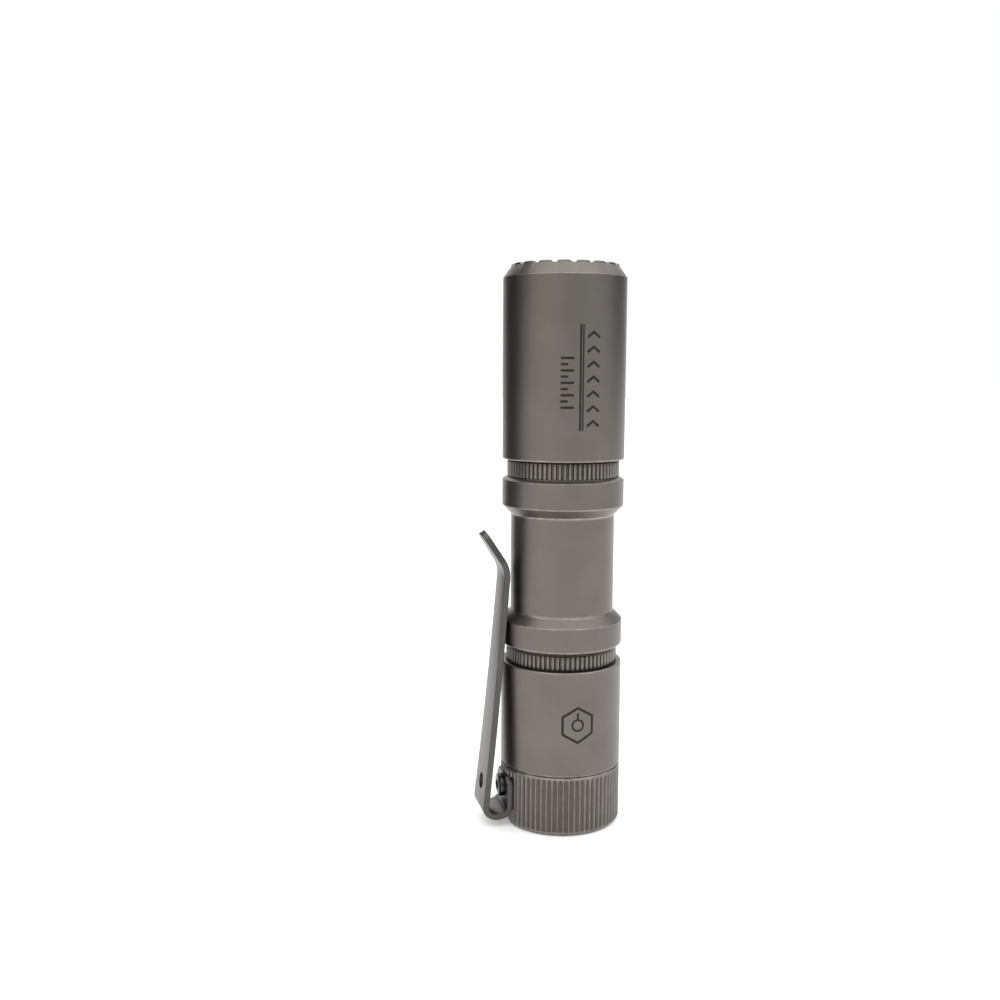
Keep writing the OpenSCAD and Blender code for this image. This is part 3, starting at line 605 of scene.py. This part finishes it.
def build_head():
    """Turned head: smooth barrel, bezel cone, notched rim, and the bore with its thread."""
    rim_r = WAIST_R + 0.2
    outer = fillet([(BORE_R, Z_HEAD), (BARREL_R, Z_HEAD, 0.26), (BARREL_R, Z_BEZEL, 0.12),
                    (rim_r, Z_RIM, 0.05)], closed=False)[:-1]
    # The rim's edges carry tone for rubbed wear and a painted highlight.
    rim = [[rim_r + 0.1, NOTCH_BASE_Z, 0], [rim_r, Z_RIM, 0.4], [rim_r, Z_TIP - 0.16, 0.2],
           [rim_r - 0.05, Z_TIP - 0.05, 0.8], [rim_r - 0.16, Z_TIP, 0.6], [WINDOW_R + 0.2, Z_TIP, 0.3],
           [WINDOW_R + 0.06, Z_TIP - 0.05, 0.8], [WINDOW_R, Z_TIP - 0.18, 0.4], [WINDOW_R, NOTCH_BASE_Z, 0]]
    inner = [[WINDOW_R, Z_BEZEL, 0], [BORE_R, Z_BEZEL, 0], [BORE_R, Z_BEZEL - 0.3, 0]]
    bore = rows_between(BORE_R, HEAD_THREAD[1], HEAD_THREAD[0], FINE_RINGS)
    shares = [0.5 + d / NOTCH_PITCH for d in NOTCH_DEGREES]
    shares += [0.5 - d / NOTCH_PITCH for d in NOTCH_DEGREES[1:-1]]
    angles = columns_of(NOTCHES, sorted(shares)) + math.radians(NOTCH_TURN - NOTCH_PITCH / 2)
    head = revolve("head", outer + rim + inner + bore, angles, head_shape)
    return dress(head, "titanium", "head", ["head_shell"])


# ---- Tail cap ----

CAP_FLUTES = 68
CAP_FLUTE_DEPTH = 0.27
CAP_FLUTE_WIDTH = 0.84          # share of the pitch that a groove takes up
CAP_FLUTE_END = 9.35            # where the grooves begin to run out, under the seam
CAP_RUNOUT = 0.62
CAP_SHARES = [-0.5, -0.46, -0.42, -0.36, -0.28, 0.0, 0.28, 0.36, 0.42, 0.46]
FLAT_R = -high("clip_tab", 0)
LEDGE_Z = high("clip_tab") + 0.2
CAP_THREAD = (Z_SEAM + 1.9, Z_SEAM + 5.8)


def cap_shape(r, z, a):
    """Cuts the scalloped flutes with their round ends, the flat under the clip, and the neck's thread."""
    off = np.abs((a / TAU * CAP_FLUTES + 0.5) % 1 - 0.5)
    runout = np.clip((z - CAP_FLUTE_END) / CAP_RUNOUT, 0, 1)
    width = CAP_FLUTE_WIDTH / 2 * np.sqrt(1 - runout ** 2) + 1e-4
    bowl = smooth(1.9 * (1 - off / width)) * np.sqrt(1 - runout ** 4)
    fluted = (r > BARREL_R - 0.6) & (z < Z_SEAM)
    r = np.where(fluted, np.minimum(r, BARREL_R - CAP_FLUTE_DEPTH * bowl), r)
    necked = within(z, *CAP_THREAD) & (np.abs(r - CAP_NECK_R) < 0.05)
    r = r - necked * THREAD_DEPTH * thread(z, a, *CAP_THREAD)
    on_flat = (z < LEDGE_Z - 1e-3) & (r * np.cos(a) < -FLAT_R) & (r > FLAT_R - 0.01)
    # Tone: ridges and the plain band under the seam lighter from wear and a painted highlight, painted shade
    # in the grooves; none on the bottom chamfer or the flat.
    chamfer_end, ridge, groove, plain = 0.5, 0.5, 1.15, 0.3
    fluted_tone = np.where(z < CAP_FLUTE_END + CAP_RUNOUT, ridge - groove * bowl, plain)
    tone = fluted * (z > chamfer_end) * fluted_tone * ~on_flat
    return np.where(on_flat, -FLAT_R / np.minimum(np.cos(a), -0.1), r), z, tone


def build_cap():
    """Fluted cap with the flat for the clip, its end wall and its threaded neck."""
    top = Z_SEAM - 0.05
    hole_r = high("switch_button", 0) - 1.05
    bore_r = 6.6
    wall = 2.2
    lower = fillet([(hole_r, 0, 0), (BARREL_R - 0.6, 0, 0.2), (BARREL_R, 0.6, 0.35),
                    (BARREL_R, top - 0.3, 0.08), (BARREL_R - 0.3, top, 0.05), (CAP_NECK_R, top, 0)],
                   closed=False)
    lower = [row for row in lower if row[1] < LEDGE_Z] + [
        [BARREL_R, LEDGE_Z - 0.02, 0], [BARREL_R, LEDGE_Z, 0], *rows_between(BARREL_R, 9.2, 10.0, 0.08)
    ] + [row for row in lower if row[1] > 10.01]
    groove = Z_SEAM + 0.7
    groove_end = groove + GROOVE_H
    root = CAP_NECK_R - GROOVE_DEPTH
    neck_end = Z_SEAM + 6.2
    neck = [[CAP_NECK_R, groove, 0], [root, groove, 0], [root, groove_end, 0], [CAP_NECK_R, groove_end, 0],
            *rows_between(CAP_NECK_R, *CAP_THREAD, FINE_RINGS), [CAP_NECK_R - 0.4, neck_end, 0]]
    # The last row here and the first row of lower carry tone for rubbed wear and a painted highlight on the
    # button hole's rim.
    inside = [[bore_r, neck_end, 0], [bore_r, wall, 0], [hole_r, wall, 0], [hole_r, 0.2, 0],
              [hole_r + 0.06, 0.06, 0.6]]
    lower[0] = [hole_r + 0.2, 0, 0.4]
    angles = columns_of(CAP_FLUTES, CAP_SHARES)
    return dress(revolve("tail_cap_shell", lower + neck + inside, angles, cap_shape), "titanium", "tail",
                 ["tail_cap"])


def build_button():
    """Recessed button with a shallow dish, a rounded edge and a flange behind the end wall."""
    r, dish_r, dish_depth, flange_t = 5.0, 4.3, 0.2, 0.7
    flange_r = high("switch_button", 0)
    z0, z_flange, z_top = low("switch_button"), high("switch_button") - flange_t, high("switch_button")
    dish = [[x, z0 + dish_depth * (1 - (x / dish_r) ** 2), 0] for x in (0.4, 1.2, 2.0, 2.8, 3.6, 4.1)]
    edge = fillet([(dish_r, z0), (r, z0, 0.3), (r, z_flange, 0), (flange_r, z_flange, 0.1),
                   (flange_r, z_top, 0.1), (0.5, z_top)], closed=False)
    return dress(revolve("button_cap", dish + edge, even_columns(144), closed=False), "titanium", "button",
                 ["switch_button"])


def build_boot():
    """Silicone boot behind the button: a dome on a thin web."""
    z0, z1, rim_r = low("switch_boot"), high("switch_boot"), high("switch_boot", 0)
    dome_r, web_t = 2.6, 0.8
    rows = fillet([(0.4, z0), (dome_r, z0, 0.7), (dome_r, z1 - web_t, 0.3), (rim_r, z1 - web_t, 0.12),
                   (rim_r, z1, 0.12), (0.4, z1)], closed=False)
    boot = revolve("tail_boot", rows, even_columns(96), closed=False)
    dress(boot, "boot_silicone", "tail", ["switch_boot"])
    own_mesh(boot)


# ---- Optics ----

def build_lens():
    """Flat glass with bevelled edges."""
    r, z0, z1 = high("lens", 0), low("lens"), high("lens")
    rows = fillet([(0.5, z0), (r, z0, 0.15), (r, z1, 0.15), (0.5, z1)], closed=False)
    lens = revolve("front_lens", rows, even_columns(144), closed=False)
    return dress(lens, "lens_glass", "lens_seat", ["lens"])


def build_reflector():
    """Deep parabolic bowl with a flange at its mouth and a foot round the emitter."""
    z0, z1, rim_r = low("reflector"), high("reflector"), high("reflector", 0)
    hole, mouth, wall, steps = 2.6, WINDOW_R, 0.7, 28
    foot_r, foot_h, flange_h = 4.4, (z1 - z0) / 14, 1.3

    def bowl(share):
        return math.sqrt(hole ** 2 + share * (mouth ** 2 - hole ** 2))

    inner = [[bowl(i / steps), z0 + (z1 - z0) * i / steps, 0] for i in range(steps + 1)]
    flange = fillet([(mouth, z1), (rim_r, z1, 0.12), (rim_r, z1 - flange_h, 0.12),
                     (mouth + 0.3, z1 - flange_h)], closed=False)[1:]
    outer = [[bowl(i / steps) + wall, z0 + (z1 - z0) * i / steps, 0] for i in range(steps - 5, 3, -1)]
    foot = [[foot_r, z0 + foot_h, 0], [foot_r, z0, 0]]
    reflector = revolve("reflector_bowl", inner + flange + outer + foot, even_columns(144))
    return dress(reflector, "reflector_alu", "head", ["reflector"])


# ---- Clip and screw ----

CLIP_T = 1.05
LOOP_R = 2.65
LOOP_X = FLAT_R + LOOP_R
LOOP_Z = low("clip_tab") + LOOP_R
LOOP_MID = LOOP_R - CLIP_T / 2
LOOP_FLAT = 0.76                # height of the loop's lower half against its width
TAB_TOP = high("clip_tab")
TAB_CORNER = 1.0
ARM_LEAN, ARM_LEAN_END, ARM_LEN = 6.45, 4.35, 40.1
BEND_R, FLARE, FLARE_LEN = 4.7, 32.5, 5.9
CLIP_W, CLIP_W_TIP, TIP_R = high("clip_tab", 1) * 2, 5.6, 2.2
CLIP_EDGE = 0.08
SCREW_Z = (low("clip_screw") + high("clip_screw")) / 2
CLIP_HOLE_Z, CLIP_HOLE_R = 7.3, 1.3
TAB_RINGS, LOOP_RINGS, ARM_RINGS, BEND_RINGS, FLARE_RINGS = 24, 61, 89, 27, 39


def polar(centre, r, degrees):
    a = math.radians(degrees)
    return np.array([centre[0] + r * math.cos(a), centre[1] + r * math.sin(a)])


def loop_point(centre, a):
    """Point and direction on the loop, whose lower half is a little flattened."""
    point = polar(centre, LOOP_MID, a)
    flat = LOOP_FLAT if point[1] < centre[1] else 1
    point[1] = centre[1] + (point[1] - centre[1]) * flat
    t = math.radians(a)
    return point, math.degrees(math.atan2(flat * math.cos(t), -math.sin(t)))


def clip_path():
    """Middle line of the strip as (distance from the axis, height), and its direction in degrees."""
    centre = np.array([LOOP_X, LOOP_Z])
    tab_x = FLAT_R + CLIP_T / 2
    path = [(np.array([tab_x, z]), -90.0) for z in np.linspace(TAB_TOP, LOOP_Z, TAB_RINGS + 1)[:-1]]
    path += [loop_point(centre, a) for a in np.linspace(180, 360 + ARM_LEAN, LOOP_RINGS)]
    bow_r = ARM_LEN / math.radians(ARM_LEAN - ARM_LEAN_END)
    bow = polar(path[-1][0], bow_r, ARM_LEAN)
    leans = np.linspace(ARM_LEAN, ARM_LEAN_END, ARM_RINGS + 1)[1:]
    path += [(polar(bow, bow_r, 180 + lean), 90 + lean) for lean in leans]
    bend = polar(path[-1][0], BEND_R, ARM_LEAN_END)
    leans = np.linspace(ARM_LEAN_END, -FLARE, BEND_RINGS + 1)[1:]
    path += [(polar(bend, BEND_R, 180 + lean), 90 + lean) for lean in leans]
    end = path[-1][0]
    for s in FLARE_LEN * np.sin(np.linspace(0, math.pi / 2, FLARE_RINGS + 1))[1:]:
        path.append((polar(end, s, 90 - FLARE), 90 - FLARE))
    return path


def clip_widths(path):
    """Half widths of the strip: chamfered tab corners, a straight loop, a tapering arm and a round tip."""
    tip_flat = 0.12
    points = np.array([p[0] for p in path])
    flare_from = len(path) - FLARE_RINGS - 1
    z_bend = points[flare_from - BEND_RINGS, 1]
    widths = []
    for i, z in enumerate(points[:, 1]):
        rise = min(1.0, max(0.0, (z - LOOP_Z) / (z_bend - LOOP_Z)))
        w = CLIP_W / 2 + (CLIP_W_TIP - CLIP_W) / 2 * rise
        if i < TAB_RINGS:
            w = CLIP_W / 2 - max(0.0, z - (TAB_TOP - TAB_CORNER))
        if i > flare_from:
            left = FLARE_LEN - np.linalg.norm(points[i] - points[flare_from])
            straight = min(1.0, max(0.0, (left - TIP_R) / (FLARE_LEN - TIP_R)))
            w = TIP_R + (CLIP_W_TIP / 2 - TIP_R) * straight
            if left < TIP_R:
                w = math.sqrt(max(0.0, TIP_R ** 2 - (TIP_R - left) ** 2))
        widths.append(max(w, tip_flat))
    return widths


def strip_section(half_w, half_t, corner=CLIP_EDGE, steps=4):
    """Rounded rectangle as (across, out) points, with its flat faces cut into columns."""
    corner = min(corner, half_w * 0.8)
    ring = []
    for sx, sy, a0 in ((1, 1, 0), (-1, 1, 90), (-1, -1, 180), (1, -1, 270)):
        for k in range(steps + 1):
            a = math.radians(a0 + 90 * k / steps)
            ring.append([sx * (half_w - corner) + corner * math.cos(a),
                         sy * (half_t - corner) + corner * math.sin(a)])
    return ring


def cut(piece, cutter):
    """Takes the cutter out of the piece for good, and removes the cutter."""
    modifier = piece.modifiers.new("cut", "BOOLEAN")
    modifier.operation = "DIFFERENCE"
    modifier.solver = "EXACT"
    modifier.object = cutter
    sharp = 35
    graph = bpy.context.evaluated_depsgraph_get()
    made = bpy.data.meshes.new_from_object(piece.evaluated_get(graph))
    piece.modifiers.clear()
    piece.data = made
    bpy.data.objects.remove(cutter)
    made.shade_smooth()
    made.set_sharp_from_angle(angle=math.radians(sharp))
    return piece


def build_clip():
    """One bent strip: tab, loop and arm, with the hole for the screw cut through the arm."""
    path = clip_path()
    widths = clip_widths(path)
    centres, ups, sections = [], [], []
    for (point, direction), w in zip(path, widths):
        a = math.radians(direction)
        centres.append([-point[0], 0, point[1]])
        ups.append([-math.sin(a), 0, -math.cos(a)])
        sections.append(strip_section(w, CLIP_T / 2))
    sides = [[0, 1, 0]] * len(centres)
    # Tone round the strip: painted shade on its narrow sides and rounded edges, a faint lift from wear and
    # painted highlight on its broad faces.
    side, edge, face = -0.35, -0.8, 0.05
    ring_shade = ([side, edge, edge, edge, face] + [face, edge, edge, edge, side]) * 2
    clip = sweep("pocket_clip", centres, sides, ups, sections, light_and_wear=ring_shade * len(centres), sharp=40)
    hole_r, half_t, bevel, past = CLIP_HOLE_R, CLIP_T / 2, 0.1, 1.2
    rows = [[hole_r + past + bevel, -half_t - past, 0], [hole_r, -half_t + bevel, 0],
            [hole_r, half_t - bevel, 0], [hole_r + past + bevel, half_t + past, 0]]
    cutter = revolve("hole_cutter", rows, even_columns(64), closed=False)
    arm = path[TAB_RINGS + LOOP_RINGS:-FLARE_RINGS]
    at = min(arm, key=lambda p: abs(p[0][1] - CLIP_HOLE_Z))[0]
    cutter.matrix_world = (Matrix.Translation(Vector((-at[0], 0, at[1])) * MM)
                           @ Matrix.Rotation(math.radians(-90 + ARM_LEAN), 4, "Y"))
    bpy.context.view_layer.update()
    clip = cut(clip, cutter)
    dress(clip, "titanium_clip", replaced=["clip_tab", "clip_arm"])
    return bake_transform(clip)


def build_screw():
    """Pan-head screw with a rounded edge, a slightly domed top and a hexagon socket."""
    face_x = FLAT_R + CLIP_T
    head_r, head_h, hex_w, hex_depth, shank_r, length = 2.0, 0.95, 1.5, 0.6, 1.0, 3.5
    socket_marks, hex_share = 4, 0.93

    rows = [[hex_w / 2, head_h - hex_depth, 0], [hex_w / 2, head_h - hex_depth + 0.02, 0],
            [hex_w / 2, head_h - 0.07, 0], [hex_w / 2 + 0.09, head_h, 1]]
    rows += [[1.1, head_h - 0.005, 0], [1.35, head_h - 0.03, 0]]
    rows += fillet([(1.5, head_h - 0.06), (head_r, head_h - 0.12, 0.3), (head_r, 0, 0.06), (shank_r, 0, 0),
                    (shank_r, -length + 0.3, 0), (shank_r - 0.3, -length, 0)], closed=False)

    def hexagon(r, z, a):
        flats = 1 / np.cos((a + math.pi / 6) % (math.pi / 3) - math.pi / 6)
        marked = np.zeros_like(r)
        marked[:socket_marks - 1] = 1
        marked[socket_marks - 1] = 0.8
        # The socket's rows get a tone of painted shade, and its mouth a tone of wear and painted highlight;
        # the black_screw finish does not read them.
        return r * (1 + marked * (flats - 1) * hex_share), z, -0.5 * marked

    screw = revolve("screw", rows, even_columns(96), hexagon, closed=False)
    turned = Matrix.Rotation(math.radians(-90), 4, "Y")
    screw.data.transform(Matrix.Translation((-face_x * MM, 0, SCREW_Z * MM)) @ turned)
    return dress(screw, "black_screw", "tail", ["clip_screw"])


# ---- Spring ----

def build_spring():
    """Gilded conical coil with closed ends, set between the switch and the cell's cap."""
    wire_r, r_low, r_high, turns, rings, sides = 0.4, 4.5, 3.0, 4.5, 300, 12
    z_low, z_high = low("tail_spring") + wire_r, high("tail_spring") - wire_r
    centres, outs, sections = [], [], []
    for i in range(rings + 1):
        t = i / rings
        a = TAU * turns * t
        r = r_low + t * (r_high - r_low)
        eased = t - math.sin(TAU * t) / 9
        centres.append([r * math.cos(a), r * math.sin(a), z_low + (z_high - z_low) * eased])
        outs.append([math.cos(a), math.sin(a), 0])
        taper = min(1.0, 0.75 + 12 * min(t, 1 - t))
        wire = [TAU * k / sides for k in range(sides)]
        sections.append([[wire_r * taper * math.cos(b), wire_r * taper * math.sin(b)] for b in wire])
    coil = sweep("contact_spring", centres, outs, [[0, 0, 1]] * len(centres), sections, sharp=60)
    dress(coil, "spring_gold", replaced=["tail_spring"])
    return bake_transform(coil)


# ---- Engraved marks, plain geometry that spells nothing ----

def stroke(line, width, closed=False):
    """Left and right points of a line of constant width, cut so finely that it follows the curved surface."""
    step = 0.35
    line = [np.array(p, float) for p in line]
    fine = []
    count = len(line) if closed else len(line) - 1
    for i in range(count):
        p, q = line[i], line[(i + 1) % len(line)]
        parts = max(1, int(np.linalg.norm(q - p) / step))
        fine += [p + (q - p) * k / parts for k in range(parts)]
    if not closed:
        fine.append(line[-1])
    left, right = [], []
    for i, p in enumerate(fine):
        prev = fine[i - 1] if closed or i else p
        nxt = fine[(i + 1) % len(fine)] if closed or i < len(fine) - 1 else p
        d0 = (p - prev) / max(np.linalg.norm(p - prev), 1e-9)
        d1 = (nxt - p) / max(np.linalg.norm(nxt - p), 1e-9)
        along = (d0 + d1) / np.linalg.norm(d0 + d1)
        normal = np.array([-along[1], along[0]])
        base = d1 if np.linalg.norm(d1) > 0 else d0
        stretch = min(1.6, 1 / max(0.4, abs(float(along @ base))))
        left.append(p + normal * width / 2 * stretch)
        right.append(p - normal * width / 2 * stretch)
    return left, right, closed


def build_mark(name, strokes, azimuth, z, body):
    """Thin closed bands on the barrel, for strokes given as (round the barrel, up) in millimetres."""
    sunk, proud = 0.02, 0.006
    points, faces = [], []
    for left, right, closed in strokes:
        base, count = len(points), len(left)
        for pair in zip(left, right):
            for r in (BARREL_R - sunk, BARREL_R + proud):
                for p in pair:
                    a = math.radians(azimuth) + p[0] / BARREL_R
                    points.append([r * math.cos(a), r * math.sin(a), z + p[1]])
        for i in range(count if closed else count - 1):
            here, there = base + 4 * i, base + 4 * ((i + 1) % count)
            for k0, k1 in ((0, 1), (1, 3), (3, 2), (2, 0)):
                faces.append([here + k0, here + k1, there + k1, there + k0])
        if not closed:
            last = base + 4 * (count - 1)
            faces += [[base, base + 2, base + 3, base + 1], [last, last + 1, last + 3, last + 2]]
    mark = make_piece(name, points, faces, sharp=30)
    mark.data.materials.append(ENGRAVING)
    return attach(mark, body)


def polygon_line(sides, radius, turn=0.0):
    return [(radius * math.cos(TAU * k / sides + turn), radius * math.sin(TAU * k / sides + turn))
            for k in range(sides)]


def build_marks():
    """A bar with chevrons and a row of ticks on the head, and a hexagon with a circle on the grip."""
    chevrons = [stroke([(-0.35, z - 0.85), (0.75, z), (1.85, z - 0.85)], width=0.42)
                for z in np.arange(-7.0, 8.6, 2.4)]
    bar = [stroke([(-1.3, -8.6), (-1.3, 8.6)], width=0.75)]
    build_mark("head_mark", chevrons + bar, azimuth=-84.0, z=77.7, body="head")
    ticks = [stroke([(-1.1, z), (1.1 if k % 2 == 0 else 0.1, z)], width=0.4)
             for k, z in enumerate(np.arange(-4, 4.1, 1.0))]
    build_mark("head_scale", ticks, azimuth=-104.0, z=76.9, body="head")
    circle_r = 0.95
    hexagon = [stroke(polygon_line(6, 3.0, TAU / 12), width=0.42, closed=True),
               stroke(polygon_line(20, circle_r), width=0.34, closed=True),
               stroke([(0, circle_r), (0, 2.1)], width=0.34)]
    build_mark("tail_mark", hexagon, azimuth=-90.5, z=19.6, body="tube")


# ---- CAD nodes that keep their shape ----

def dress_cad_nodes():
    """Gives each CAD node the one material of its slot."""
    slots = {part["node"]: part["material_slot"] for part in frame["record"]["subparts"]}
    for name, node in frame["nodes"].items():
        node.data.materials.clear()
        node.data.materials.append(MATERIALS[slots[name]])
        node.data.polygons.foreach_set("material_index", [0] * len(node.data.polygons))


# ---- Stage ----

ROOM = (0.72, 0.72, 0.72)
FLOOR_GLOW = 0.3
# Each lobe: azimuth, elevation, full within, gone beyond, colour
LOBES = [
    (0.0, 90.0, 22.0, 74.0, (2.0, 2.0, 2.0)),         # ceiling
    (-145.0, 4.0, 8.0, 38.0, (1.05, 0.93, 0.80)),     # warm key
    (-88.0, 0.0, 8.0, 26.0, (0.50, 0.51, 0.50)),      # dimmer strip behind the camera
    (12.0, 6.0, 12.0, 30.0, (0.10, 0.10, 0.10)),      # dim right side
    (147.0, 0.0, 24.0, 44.0, (0.05, 0.045, 0.045)),   # dark side
    (75.0, 4.0, 10.0, 36.0, (1.15, 1.15, 1.15)),      # bright backdrop behind the light
]
CAMERA_AT = (-54.450, -178.098, 78.646)
CAMERA_RIGHT = (0.97186071, -0.23551172, 0.00458225)
CAMERA_UP = (0.02339354, 0.1158558, 0.99299052)
CAMERA_LENS, CAMERA_SENSOR = 38.83, 36.0


def build_floor():
    """Plain pale floor with a faint glow of its own, so that it meets the white background."""
    size, steps, shade = 3.0, 8, 0.82
    mesh = bpy.data.meshes.new("floor")
    row = steps + 1
    grid = [(-size + 2 * size * i / steps, -size + 2 * size * j / steps, 0.0)
            for j in range(row) for i in range(row)]
    quads = [[j * row + i, j * row + i + 1, (j + 1) * row + i + 1, (j + 1) * row + i]
             for j in range(steps) for i in range(steps)]
    mesh.from_pydata(grid, [], quads)
    floor = bpy.data.objects.new("floor", mesh)
    bpy.context.scene.collection.objects.link(floor)
    look = Look("floor", Roughness=0.75, Emission_Strength=FLOOR_GLOW)
    look.shader.inputs["Emission Color"].default_value = rgba(1.0, 1.0, 1.0)
    look.shader.inputs["Base Color"].default_value = rgba(shade, shade, shade)
    mesh.materials.append(look.material)


def build_flag(name, azimuth, spread, distance, height, shade):
    """Curved card, unseen by the camera, that stands on the floor and darkens one side of the reflections."""
    steps = 16
    angles = np.radians(azimuth + np.linspace(-spread, spread, steps + 1))
    points = [(distance * math.cos(a), distance * math.sin(a), z) for z in (0.0, height) for a in angles]
    quads = [[i, i + 1, steps + 2 + i, steps + 1 + i] for i in range(steps)]
    mesh = bpy.data.meshes.new(name)
    mesh.from_pydata(points, [], quads)
    mesh.shade_smooth()
    flag = bpy.data.objects.new(name, mesh)
    bpy.context.scene.collection.objects.link(flag)
    look = Look(name, Roughness=0.9)
    look.shader.inputs["Base Color"].default_value = rgba(shade, shade, shade)
    mesh.materials.append(look.material)
    flag.visible_camera = False
    flag.visible_diffuse = False
    flag.visible_shadow = False


def build_world():
    """Soft studio surroundings by direction, white where the camera looks past the light."""
    world = bpy.data.worlds.new("studio")
    bpy.context.scene.world = world
    world.use_nodes = True
    tree = world.node_tree
    nodes, links = tree.nodes, tree.links
    direction = nodes.new("ShaderNodeTexCoord").outputs["Generated"]
    colour = None
    for azimuth, elevation, inner, outer, tint in LOBES:
        a, e = math.radians(azimuth), math.radians(elevation)
        toward = (math.cos(a) * math.cos(e), math.sin(a) * math.cos(e), math.sin(e))
        dot = nodes.new("ShaderNodeVectorMath")
        dot.operation = "DOT_PRODUCT"
        links.new(direction, dot.inputs[0])
        dot.inputs[1].default_value = toward
        ramp = nodes.new("ShaderNodeMapRange")
        ramp.interpolation_type = "SMOOTHSTEP"
        ramp.inputs["From Min"].default_value = math.cos(math.radians(outer))
        ramp.inputs["From Max"].default_value = math.cos(math.radians(inner))
        links.new(dot.outputs["Value"], ramp.inputs["Value"])
        mix = nodes.new("ShaderNodeMix")
        mix.data_type = "RGBA"
        links.new(ramp.outputs["Result"], mix.inputs[0])
        mix.inputs[6].default_value = rgba(*ROOM)
        if colour:
            links.new(colour, mix.inputs[6])
        mix.inputs[7].default_value = rgba(*tint)
        colour = mix.outputs[2]
    backdrop = nodes.new("ShaderNodeMix")
    backdrop.data_type = "RGBA"
    links.new(nodes.new("ShaderNodeLightPath").outputs["Is Camera Ray"], backdrop.inputs[0])
    links.new(colour, backdrop.inputs[6])
    backdrop.inputs[7].default_value = rgba(1.0, 1.0, 1.0)
    links.new(backdrop.outputs[2], nodes["Background"].inputs["Color"])
    nodes["Background"].inputs["Strength"].default_value = 1.0


def build_camera():
    """The photograph's camera: level with the head and looking slightly down."""
    data = bpy.data.cameras.new("camera")
    data.lens = CAMERA_LENS
    data.sensor_width = CAMERA_SENSOR
    data.clip_start, data.clip_end = 0.01, 20.0
    camera = bpy.data.objects.new("camera", data)
    bpy.context.scene.collection.objects.link(camera)
    right, up = Vector(CAMERA_RIGHT), Vector(CAMERA_UP)
    turn = Matrix((right, up, right.cross(up))).transposed().to_4x4()
    camera.matrix_world = Matrix.Translation(Vector(CAMERA_AT) * MM) @ turn
    bpy.context.scene.camera = camera


build_tube()
build_head()
build_cap()
build_button()
build_boot()
build_lens()
build_reflector()
build_clip()
build_screw()
build_spring()
build_marks()
dress_cad_nodes()
build_floor()
build_flag("dark_flag", azimuth=143.0, spread=26.0, distance=0.16, height=0.30, shade=0.02)
build_world()
build_camera()
bpy.context.scene.view_settings.view_transform = "Standard"
